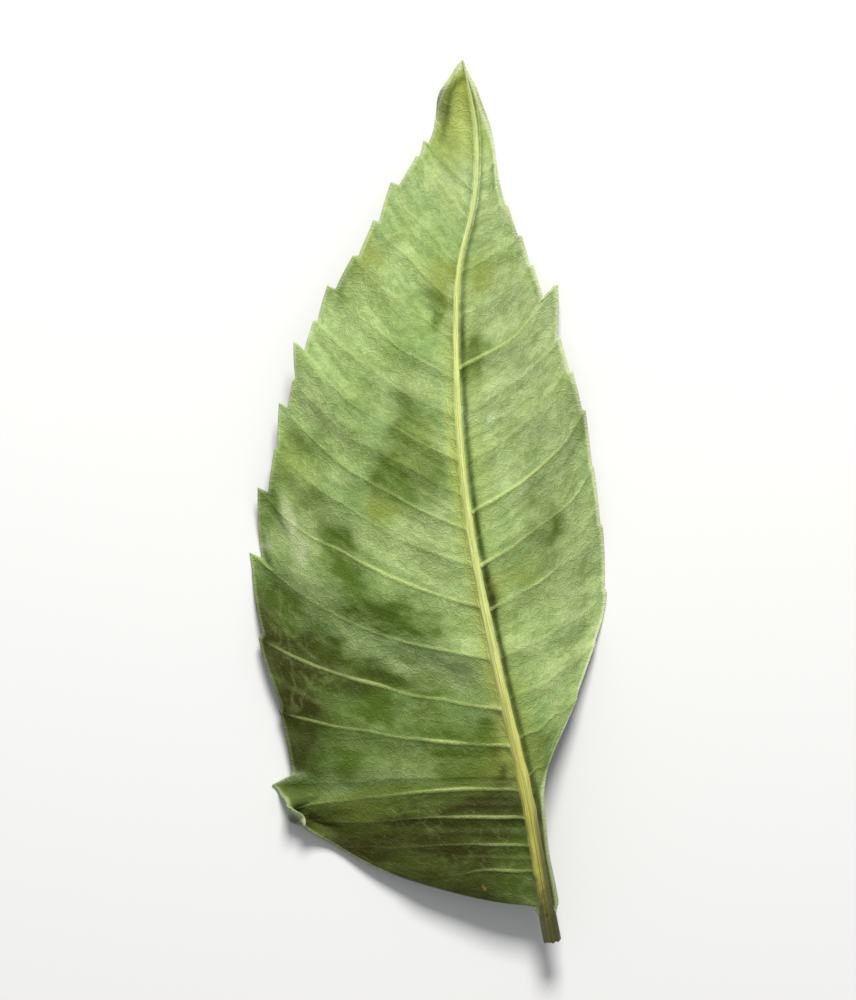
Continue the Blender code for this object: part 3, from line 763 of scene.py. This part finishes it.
def half_values(side, rings, top, below):
    """What a half's points carry for its colours: the values of its two faces and its places of colour."""

    def carried(name):
        """A value of the two faces put round the rings, with the outermost one kept over the edge."""
        rim = np.repeat(top[name][:, -1:], len(EDGE_ANGLES), axis=1)
        return np.concatenate([top[name], rim, below[name][:, ::-1]], axis=1)

    values = {name: carried(name) for name in FACE_VALUES}
    values.update({name: place_strength(places, rings) for name, places in PLACES.items()})
    # Painted highlights added to the pale rim, where crinkles and curled edges catch the light
    values["rim"] = np.clip(values["rim"] + place_strength(PAINTED_HIGHLIGHTS, rings, 0.3), 0, 1.8)
    values["golden"], dark = side_shades(side, values["out"], carried("inside"), values["along"])
    # Brown specks and spots of painted shade, added to the painted shade of the strips and hollows
    dark = dark + place_strength(BROWN_AND_SHADE_FLECKS, rings, 0.2)
    # Painted shade darkens the deep places fully and the brown places by half
    values["deep"] = np.clip(values["deep"] + dark, 0, 1)
    values["brown"] = np.clip(values["brown"] + 0.5 * dark, 0, 1)
    return values


def build_half(side, name, settings, materials):
    """One half of the blade as an object, with its vein and colour values on its points."""
    s = row_stations(side, ROW)
    shares = [column_shares(side, spacing) for spacing in (TOP_COLUMN, BACK_COLUMN)]
    top, below = (blade_face(side, s, columns, settings) for columns in shares)
    rings = half_rings(s, shares[0], top, below, settings)
    values = half_values(side, rings, top, below)
    around = rings.shape[1]
    under = np.arange(around) >= around - below["out"].shape[1]
    if side == LEFT:
        rings, under = rings[:, ::-1], under[::-1]
        values = {key: value[:, ::-1] for key, value in values.items()}
    end = settled(midrib_points(np.array([1.0]))[:, None])[0, 0]
    tip = np.maximum(end, 0.0) + (0.0, TIP_LENGTH, TIP_LENGTH)
    mesh = closed_tube(name, rings, rings[0].mean(axis=0), tip)
    for key, value in values.items():
        add_attribute(mesh, key, value, [value[0, 0], value[-1, 0]])
    per_row = np.tile(under, len(s) - 1)
    index = np.concatenate([per_row, per_row, under, under]).astype(np.int32)
    mesh.polygons.foreach_set("material_index", index)
    finished(name, mesh, materials)


def linked(name, data):
    """New object of the scene for a mesh, a lamp or a camera."""
    made = bpy.data.objects.new(name, data)
    bpy.context.scene.collection.objects.link(made)
    return made


def finished(name, mesh, materials):
    """Piece of a mesh, riding on the leaf's one body and standing for its solid."""
    for material in materials:
        mesh.materials.append(material)
    piece = linked(name, mesh)
    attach(piece, "root")
    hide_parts("neem_leaf")


def midrib_rings(settings):
    """Rings of the midrib and its stalk from the broken end to the tip, and the values that they carry.

    A ring is an oval, higher above its middle than below it, with low waves round it for the fibres and a
    swelling where each side vein leaves. On the stalk it turns round. The broken end is three smaller
    rings set in and out by rolling hills.
    """
    start = -STALK_LENGTH / MIDRIB_LENGTH
    stalk = np.linspace(start, ROWS_MEET, STALK_ROWS, endpoint=False)
    s = np.concatenate([stalk, np.linspace(ROWS_MEET, 1.0, MIDRIB_ROWS)])
    turn = np.linspace(0.0, 2 * np.pi, MIDRIB_COLUMNS, endpoint=False)
    line = settled(midrib_points(s)[:, None])[:, 0]
    ahead = unit(np.gradient(line, axis=0))
    right = unit(np.cross(ahead, [0.0, 0.0, 1.0]))
    up = np.cross(right, ahead)
    on_blade = np.clip(s, 0.0, 1.0)
    half = to_stalk(through(STRAND, 1, on_blade), STALK_RADIUS, s)[:, None]
    crest = to_stalk(through(STRAND, 2, on_blade), STALK_CREST, s)[:, None]
    sole = to_stalk(through(STRAND, 3, on_blade), STALK_RADIUS, s)[:, None]
    middle = to_stalk(MIDDLE_ON_BLADE, MIDDLE_ON_STALK, s)[:, None]

    drift = soft_noise(s * 9, 0.0, 41)[:, None]
    fibres = np.sin(9 * turn + 2.5 * drift) + 0.6 * np.sin(14 * turn - 3 * drift + 40 * s[:, None])
    size = 1 + settings.fibre_depth * fibres + 0.03 * soft_noise(s * 55, 0.0, 42)[:, None]
    for side in (LEFT, RIGHT):
        for station, _, _ in VEINS[side]:
            swelling = settings.joint_swelling * bell(s, station, SWELLING_LENGTH)[:, None]
            size = size + swelling * np.clip(-side * np.sin(turn), 0, 1)
    across = half * np.sin(turn) * size
    tall = np.where(np.cos(turn) > 0, crest - middle, sole + middle)
    height = middle + tall * np.cos(turn) * (1 + (size - 1) * 0.6)
    rings = line[:, None] + across[:, :, None] * right[:, None] + height[:, :, None] * up[:, None]

    core = rings[0].mean(axis=0)
    ends = []
    for share, sink in TORN_RINGS:
        torn = TORN_DEPTH * soft_noise(turn * 2.2, share * 9, 43)
        ends.append(core + (rings[0] - core) * share + ahead[0] * (sink + torn)[:, None])
    rings = np.concatenate([np.stack(ends), rings])
    rings[:, :, 2] = np.maximum(rings[:, :, 2], 0.0)
    along = np.concatenate([np.full(len(ends), start), s])[:, None] * MIDRIB_LENGTH / MM
    return rings, along + 0 * turn, turn + 0 * along, core + ahead[0] * TORN_MIDDLE


# Wiring of materials. Of the many sockets of a Mix node, these are the ones for colours
MIX_UNDER, MIX_TOP, MIX_RESULT = 6, 7, 2


def feed(tree, socket, value):
    """Link an output to a socket, or set the socket's own value."""
    if isinstance(value, bpy.types.NodeSocket):
        tree.links.new(value, socket)
    else:
        socket.default_value = value


def put(tree, kind, values, **settings):
    """Outputs of a new node with its settings and what goes into its inputs, in their order or by name."""
    made = tree.nodes.new(kind)
    for name, value in settings.items():
        setattr(made, name, value)
    given = values.items() if isinstance(values, dict) else enumerate(values)
    for key, value in given:
        feed(tree, made.inputs[key], value)
    return made.outputs


def calc(tree, operation, *values):
    """Result of a sum on outputs and numbers."""
    return put(tree, "ShaderNodeMath", values, operation=operation)[0]


def times(tree, first, second):
    """One value times another."""
    return calc(tree, "MULTIPLY", first, second)


def combined(tree, *values):
    """Vector put together from its parts."""
    return put(tree, "ShaderNodeCombineXYZ", values)[0]


def scaled(tree, vector, factors, shift):
    """Vector times the factors of its parts, moved by the shift."""
    return put(tree, "ShaderNodeVectorMath", (vector, factors, shift), operation="MULTIPLY_ADD")[0]


def ramp(tree, value, low, high, start=0.0, end=1.0):
    """Smooth change from start, where the value is low, to end, where it is high."""
    given = {"Value": value, "From Min": low, "From Max": high, "To Min": start, "To Max": end}
    return put(tree, "ShaderNodeMapRange", given, interpolation_type="SMOOTHSTEP")["Result"]


def mixed(tree, share, under, top):
    """Colour that goes from one to another as the share goes from 0 to 1."""
    under, top = (c if isinstance(c, bpy.types.NodeSocket) else (*c, 1.0) for c in (under, top))
    return put(tree, "ShaderNodeMix", {0: share, MIX_UNDER: under, MIX_TOP: top}, data_type="RGBA")[MIX_RESULT]


def read(tree, name):
    """A value that the mesh carries on its points."""
    return put(tree, "ShaderNodeAttribute", (), attribute_name=name)["Fac"]


def new_group(name, inputs, outputs):
    """Node group with named inputs, which are numbers where they have a value and vectors where not."""
    group = bpy.data.node_groups.new(name, "ShaderNodeTree")
    for label, value in inputs.items():
        kind = "NodeSocketVector" if value is None else "NodeSocketFloat"
        socket = group.interface.new_socket(label, in_out="INPUT", socket_type=kind)
        if value is not None:
            socket.default_value = value
    for label in outputs:
        group.interface.new_socket(label, in_out="OUTPUT", socket_type="NodeSocketFloat")
    return group, group.nodes.new("NodeGroupInput").outputs, group.nodes.new("NodeGroupOutput").inputs


def place_group(tree, name, **values):
    """Outputs of a shared group, placed with its own values and built if it isn't there yet."""
    group = bpy.data.node_groups.get(name) or GROUPS[name](name)
    return put(tree, "ShaderNodeGroup", values, node_tree=group)


def stretched_noise(tree, vector, size, stretch, seed, detail, roughness=0.55):
    """Noise with patches of a size in millimetres, longer along X by the stretch."""
    close = calc(tree, "DIVIDE", 1.0, size)
    factors = combined(tree, calc(tree, "DIVIDE", close, stretch), close, close)
    place = scaled(tree, vector, factors, combined(tree, 0.0, 0.0, seed))
    given = {"Vector": place, "Scale": 1.0, "Detail": detail, "Roughness": roughness}
    return put(tree, "ShaderNodeTexNoise", given)["Fac"]


def blotch_group(name):
    """Patches: a noise, stretched along X, cut off softly between two levels."""
    inputs = {"Vector": None, "Size": 2.0, "Stretch": 1.0, "Seed": 0.0, "Low": 0.45, "High": 0.6}
    group, given, result = new_group(name, inputs, ("Mask",))
    noise = stretched_noise(group, given["Vector"], given["Size"], given["Stretch"], given["Seed"], 4.0)
    feed(group, result["Mask"], ramp(group, noise, given["Low"], given["High"]))
    return group


def net_group(name):
    """Fine net of veinlets: walls between cells of two sizes, bent by a noise."""
    group, given, result = new_group(name, {"Vector": None, "Cell": 1.1, "Width": 0.09}, ("Line",))
    bend = put(group, "ShaderNodeTexNoise", {"Vector": given["Vector"], "Scale": 1.3})["Color"]
    bent = scaled(group, bend, (0.7, 0.7, 0.7), given["Vector"])
    lines = []
    for share, strength in ((1.0, 1.0), (0.42, 0.55)):
        cells = {"Vector": bent, "Scale": calc(group, "DIVIDE", 1.0 / share, given["Cell"])}
        wall = put(group, "ShaderNodeTexVoronoi", cells, feature="DISTANCE_TO_EDGE")["Distance"]
        lines.append(times(group, ramp(group, wall, 0.0, given["Width"], 1.0, 0.0), strength))
    feed(group, result["Line"], calc(group, "MAXIMUM", *lines))
    return group


def vein_group(name):
    """Side veins by their distance in millimetres: the bright line itself and a soft band beside it."""
    group, given, result = new_group(name, {"Width": 0.16, "Band": 0.7}, ("Line", "Beside"))
    gap, fade = read(group, "gap"), read(group, "fade")
    wide = times(group, given["Width"], calc(group, "ADD", 0.5, fade))
    line = ramp(group, gap, times(group, wide, 0.35), wide, 1.0, 0.0)
    feed(group, result["Line"], times(group, line, fade))
    feed(group, result["Beside"], times(group, ramp(group, gap, 0.1, given["Band"], 1.0, 0.0), fade))
    return group


def skin_group(name):
    """Height of the skin: a fine grain, the net of veinlets and short wrinkles."""
    inputs = {"Vector": None, "Line": 0.0, "Grain": 0.35, "Wrinkles": 0.5}
    group, given, result = new_group(name, inputs, ("Height",))
    grain = stretched_noise(group, given["Vector"], 0.16, 1.0, 5.0, 3.0, 0.6)
    wrinkles = stretched_noise(group, given["Vector"], 0.75, 1.5, 9.0, 3.0, 0.6)
    total = calc(group, "MULTIPLY_ADD", wrinkles, given["Wrinkles"], times(group, grain, given["Grain"]))
    feed(group, result["Height"], calc(group, "MULTIPLY_ADD", given["Line"], 0.5, total))
    return group


GROUPS = {
    "leaf blotches": blotch_group,
    "leaf veinlets": net_group,
    "leaf side veins": vein_group,
    "leaf skin": skin_group,
}


def new_material(name):
    """Material, its node tree and the inputs of its shader."""
    material = bpy.data.materials.new(name)
    material.use_nodes = True
    tree = material.node_tree
    return material, tree, tree.nodes["Principled BSDF"].inputs


def millimetres(tree):
    """Place of a point in millimetres, in the object's own coordinates."""
    place = put(tree, "ShaderNodeTexCoord", ())["Object"]
    return put(tree, "ShaderNodeVectorMath", {0: place, "Scale": 1 / MM}, operation="SCALE")[0]


def bump(tree, height, distance, shader):
    """Fine relief from a height that goes from 0 to 1 over a distance."""
    relief = put(tree, "ShaderNodeBump", {"Strength": 1.0, "Distance": distance, "Height": height})
    feed(tree, shader["Normal"], relief["Normal"])


def patches(tree, vector, size, stretch, seed, low, high):
    """Patches of a size in millimetres, from the shared group."""
    values = {"Vector": vector, "Size": size, "Stretch": stretch, "Seed": seed, "Low": low, "High": high}
    return place_group(tree, "leaf blotches", **values)["Mask"]


def face_patterns(tree, cell, wall, vein, band):
    """What the colours of a face follow: the place, the ribs, the fine net and the side veins."""
    place = millimetres(tree)
    veins = place_group(tree, "leaf side veins", Width=vein, Band=band)
    return {
        "place": place,
        "rib": combined(tree, read(tree, "out"), read(tree, "along")),
        "fine net": place_group(tree, "leaf veinlets", Vector=place, Cell=cell, Width=wall)["Line"],
        "side veins": veins["Line"],
        "beside veins": veins["Beside"],
    }


def coated(tree, colour, coats, colours, found):
    """Colour under its coats. A coat covers by its strength times what it follows times its patches."""
    for name, strength, follows, even, patch in coats:
        share = strength
        if follows:
            share = times(tree, found[follows] if follows in found else read(tree, follows), share)
        if patch:
            uneven = patches(tree, found[patch[0]], *patch[1:])
            share = times(tree, calc(tree, "MULTIPLY_ADD", uneven, 1 - even, even), share)
        colour = mixed(tree, share, colour, getattr(colours, name))
    return colour


def paler_face(colours):
    """Underside of the leaf: matt sage with darker green patches and dried brown places, which are partly
    painted shade, pale veins, and a pale rim with painted highlights where the edge rolls and crinkles.

    Where a deep green place shades them, the lines of the veins and the rim are less lit.
    """
    material, tree, shader = new_material("leaf_underside")
    found = face_patterns(tree, cell=0.62, wall=0.12, vein=0.17, band=0.8)
    place = found["place"]
    sage = mixed(tree, patches(tree, place, 5.0, 1.0, 3.0, 0.38, 0.62), colours.sage, colours.pale_sage)
    colour = coated(tree, sage, UNDERSIDE_COATS, colours, found)
    lit = calc(tree, "MULTIPLY_ADD", read(tree, "deep"), -0.45, 1.0)
    for name, value, more, least in (
        ("vein", read(tree, "lesser"), 0.45, 0.0),
        ("vein", found["side veins"], 0.3, 0.6),
        ("rim", read(tree, "rim"), 0.7, 0.1),
    ):
        share = times(tree, value, calc(tree, "MULTIPLY_ADD", lit, more, least))
        colour = mixed(tree, share, colour, getattr(colours, name))
    feed(tree, shader["Base Color"], colour)
    dull = patches(tree, place, 1.6, 1.0, 41.0, 0.35, 0.65)
    feed(tree, shader["Roughness"], ramp(tree, dull, 0.0, 1.0, 0.50, 0.66))
    shader["Specular IOR Level"].default_value = 0.15
    skin = place_group(tree, "leaf skin", Vector=place, Line=found["fine net"], Grain=0.20, Wrinkles=0.17)
    bump(tree, skin["Height"], 0.00006, shader)
    return material


def darker_face(colours):
    """Upper face of the leaf, which lies below: darker green and glossier, with thin sunken veins."""
    material, tree, shader = new_material("leaf_upper_face")
    found = face_patterns(tree, cell=1.3, wall=0.08, vein=0.13, band=0.9)
    place = found["place"]
    bright = patches(tree, found["rib"], 3.0, 1.6, 52.0, 0.36, 0.64)
    green = mixed(tree, bright, colours.leaf_green, colours.bright_green)
    feed(tree, shader["Base Color"], coated(tree, green, UPPER_FACE_COATS, colours, found))
    dull = patches(tree, place, 1.2, 1.0, 61.0, 0.35, 0.65)
    feed(tree, shader["Roughness"], ramp(tree, dull, 0.0, 1.0, 0.42, 0.56))
    skin = place_group(tree, "leaf skin", Vector=place, Line=found["fine net"], Grain=0.20, Wrinkles=0.35)
    bump(tree, skin["Height"], -0.00005, shader)
    return material


def midrib_face(colours):
    """Midrib: pale straw green with fibres along it, golden near the base with painted shade on its right
    flank there, and brown on the stalk.
    """
    material, tree, shader = new_material("leaf_midrib")
    place, along = millimetres(tree), read(tree, "along")
    above, aside = (calc(tree, kind, read(tree, "turn")) for kind in ("COSINE", "SINE"))
    fibre = combined(tree, along, times(tree, above, 1.2), times(tree, aside, 1.2))

    colour = mixed(tree, ramp(tree, along, 4.0, 26.0, 1.0, 0.0), colours.straw, colours.gold)
    streaks = times(tree, patches(tree, fibre, 0.22, 12.0, 71.0, 0.42, 0.62), 0.45)
    colour = mixed(tree, streaks, colour, colours.olive)
    pale = times(tree, patches(tree, fibre, 0.30, 16.0, 75.0, 0.50, 0.66), 0.4)
    colour = mixed(tree, pale, colour, colours.straw)
    colour = mixed(tree, ramp(tree, along, 44.0, 60.0, 0.0, 0.45), colour, colours.pale_sage)
    # Painted shade in brown on the right flank of the midrib near the base
    shaded = times(tree, ramp(tree, aside, -0.1, 0.6), ramp(tree, along, 4.0, 11.0, 0.8, 0.0))
    colour = mixed(tree, shaded, colour, colours.brown)
    uneven = calc(tree, "MULTIPLY_ADD", patches(tree, place, 1.0, 1.0, 78.0, 0.3, 0.7), 2.4, along)
    colour = mixed(tree, ramp(tree, uneven, -0.2, 6.0, 0.9, 0.0), colour, colours.brown)
    feed(tree, shader["Base Color"], colour)
    shader["Roughness"].default_value = 0.5
    bump(tree, stretched_noise(tree, fibre, 0.16, 10.0, 81.0, 3.0), 0.00008, shader)
    return material


def floor_face(colour):
    """Plain matt floor."""
    material, _, shader = new_material("pale_floor")
    shader["Base Color"].default_value = (*colour, 1.0)
    shader["Roughness"].default_value = 0.7
    return material


# Settings that a user would change


def setting(label, text, value, kind=FloatProperty, **shown):
    """Setting with its name, description and default, which can't be below 0."""
    return kind(name=label, description=text, default=value, min=0.0, **shown)


def length_setting(label, text, value):
    """Setting for a length in metres."""
    return setting(label, text, value, subtype="DISTANCE", unit="LENGTH")


def share_setting(label, text, value, most):
    """Setting for a share, up to the most."""
    return setting(label, text, value, max=most, subtype="FACTOR")


def colour_setting(label, text, value):
    """Setting for a colour."""
    return setting(label, text, value, FloatVectorProperty, max=1.0, size=3, subtype="COLOR")


class LeafletBlade(bpy.types.PropertyGroup):
    """Sizes of the blade"""

    thickness: length_setting("Thickness", "Thickness of the blade away from its edge", 0.00026)
    vein_height: length_setting("Vein height", "Height of the side veins near the midrib", 0.00017)
    net_height: length_setting("Net height", "Height of the net of veinlets", 0.000012)
    pillow_depth: length_setting("Pillow depth", "How far the blade sinks between two side veins", 0.00013)
    crumple_depth: length_setting("Crumple depth", "Height of the wide bends of the dry blade", 0.00030)
    pucker_depth: length_setting("Pucker depth", "Height of the small puckers", 0.000035)


class LeafletMidrib(bpy.types.PropertyGroup):
    """Relief of the midrib"""

    fibre_depth: share_setting("Fibre depth", "Depth of the fibres as a share of the midrib", 0.025, 0.2)
    joint_swelling: share_setting("Joint swelling", "Swelling where a side vein leaves", 0.12, 0.5)


class LeafletColours(bpy.types.PropertyGroup):
    """Colours of the leaflet"""

    sage: colour_setting("Sage", "Main green of the underside", (0.275, 0.405, 0.125))
    pale_sage: colour_setting("Pale sage", "Lightest green of the underside", (0.405, 0.530, 0.215))
    blue_green: colour_setting("Blue green", "Cooler patches of the underside", (0.200, 0.335, 0.120))
    # Deep green is also the colour of the painted shade on the underside's slopes and hollows
    deep_green: colour_setting("Deep green", "Darkest patches of the underside", (0.074, 0.130, 0.012))
    dry_sage: colour_setting("Dry sage", "Greyer, yellower places of the underside", (0.375, 0.445, 0.225))
    olive: colour_setting("Olive", "Yellowed places", (0.215, 0.265, 0.045))
    # Brown is also the colour of painted shade: below the left notch, in the groove beside the midrib and on
    # the midrib's right flank near the base
    brown: colour_setting("Brown", "Dried dark places at the base", (0.034, 0.036, 0.003))
    rust: colour_setting("Rust", "Small rusty specks", (0.270, 0.190, 0.050))
    vein: colour_setting("Vein", "Side veins and veinlets", (0.470, 0.560, 0.190))
    # The rim colour also paints the highlights on rolled edges and crinkles
    rim: colour_setting("Rim", "Thin edge of the blade", (0.520, 0.590, 0.330))
    fringe: colour_setting("Fringe", "Yellower blade beside the midrib", (0.500, 0.560, 0.130))
    straw: colour_setting("Straw", "Midrib in its upper part", (0.740, 0.800, 0.270))
    gold: colour_setting("Gold", "Midrib near the base", (0.600, 0.550, 0.100))
    leaf_green: colour_setting("Leaf green", "Darker green of the upper face", (0.070, 0.130, 0.030))
    bright_green: colour_setting("Bright green", "Lighter green of the upper face", (0.140, 0.240, 0.060))


class LeafletStage(bpy.types.PropertyGroup):
    """Floor, light and camera"""

    floor_size: length_setting("Floor size", "Side of the floor", 3.0)
    floor_colour: colour_setting("Floor colour", "Colour of the floor", (0.80, 0.80, 0.80))
    camera_height: length_setting("Camera height", "Height of the camera above the floor", 0.50)
    view_height: length_setting("View height", "Length that the picture's height takes in", 0.078)
    key_power: setting("Key light", "Power of the main light", 3.0, unit="POWER")
    sky_strength: setting("Sky", "Strength of the light from all sides", 0.36)


class LEAFLET_OT_blade(bpy.types.Operator):
    """Build the left and the right half of the blade"""

    bl_idname = "leaflet.blade"
    bl_label = "Blade halves"

    def execute(self, context):
        settings, colours = context.scene.leaflet_blade, context.scene.leaflet_colours
        materials = [paler_face(colours), darker_face(colours)]
        build_half(LEFT, "left_half", settings, materials)
        build_half(RIGHT, "right_half", settings, materials)
        return {"FINISHED"}


class LEAFLET_OT_midrib(bpy.types.Operator):
    """Build the midrib and the short stalk that it goes on in"""

    bl_idname = "leaflet.midrib"
    bl_label = "Midrib and stalk"

    def execute(self, context):
        rings, along, turn, foot = midrib_rings(context.scene.leaflet_midrib)
        tip = rings[-1].mean(axis=0) + (0.0, TIP_LENGTH, 0.0)
        mesh = closed_tube("midrib", rings, foot, tip)
        add_attribute(mesh, "along", along, [along[0, 0], along[-1, 0]])
        add_attribute(mesh, "turn", turn, [0.0, 0.0])
        finished("midrib", mesh, [midrib_face(context.scene.leaflet_colours)])
        return {"FINISHED"}


class LEAFLET_OT_stage(bpy.types.Operator):
    """Lay the pale floor and set up the soft light and the camera that looks straight down"""

    bl_idname = "leaflet.stage"
    bl_label = "Stage"

    def execute(self, context):
        scene, settings = context.scene, context.scene.leaflet_stage
        half = settings.floor_size / 2
        mesh = bpy.data.meshes.new("floor")
        corners = [(-half, -half, 0.0), (half, -half, 0.0), (half, half, 0.0), (-half, half, 0.0)]
        mesh.from_pydata(corners, [], [(0, 1, 2, 3)])
        mesh.materials.append(floor_face(settings.floor_colour))
        floor = linked("floor", mesh)

        world = bpy.data.worlds.new("sky")
        world.use_nodes = True
        background = world.node_tree.nodes["Background"].inputs
        background["Color"].default_value = (*SKY_COLOUR, 1.0)
        background["Strength"].default_value = settings.sky_strength
        scene.world = world

        lamp = bpy.data.lights.new("key", "AREA")
        lamp.energy = settings.key_power
        lamp.size = KEY_SIZE
        lamp.color = KEY_COLOUR
        key = linked("key", lamp)
        key.location = KEY_PLACE
        key.rotation_euler = key.location.to_track_quat("Z", "Y").to_euler()

        view = bpy.data.cameras.new("camera")
        view.sensor_width = 36.0
        view.lens = view.sensor_width * settings.camera_height / settings.view_height
        view.clip_start = 0.01
        scene.camera = linked("camera", view)
        scene.camera.location = (0.0, 0.0, settings.camera_height)
        scene.view_settings.view_transform = "Standard"
        return {"FINISHED"}


class LEAFLET_PT_panel(bpy.types.Panel):
    """The steps in their order, each with its settings"""

    bl_label = "Dried neem leaflet"
    bl_space_type = "VIEW_3D"
    bl_region_type = "UI"
    bl_category = "Leaflet"

    def draw(self, context):
        for step, names in STEPS:
            self.layout.operator(step.bl_idname)
            for name in names:
                settings = getattr(context.scene, name)
                for key in SETTINGS[name].__annotations__:
                    self.layout.prop(settings, key)


STEPS = (
    (LEAFLET_OT_blade, ("leaflet_blade", "leaflet_colours")),
    (LEAFLET_OT_midrib, ("leaflet_midrib",)),
    (LEAFLET_OT_stage, ("leaflet_stage",)),
)
SETTINGS = {
    "leaflet_blade": LeafletBlade,
    "leaflet_midrib": LeafletMidrib,
    "leaflet_colours": LeafletColours,
    "leaflet_stage": LeafletStage,
}
CLASSES = (*SETTINGS.values(), *(step for step, _ in STEPS), LEAFLET_PT_panel)


def register():
    for kind in CLASSES:
        bpy.utils.register_class(kind)
    for name, group in SETTINGS.items():
        setattr(bpy.types.Scene, name, PointerProperty(type=group))


def unregister():
    for name in SETTINGS:
        delattr(bpy.types.Scene, name)
    for kind in reversed(CLASSES):
        bpy.utils.unregister_class(kind)


def main():
    register()
    for step in (bpy.ops.leaflet.blade, bpy.ops.leaflet.midrib, bpy.ops.leaflet.stage):
        step()


if __name__ == "__main__":
    main()
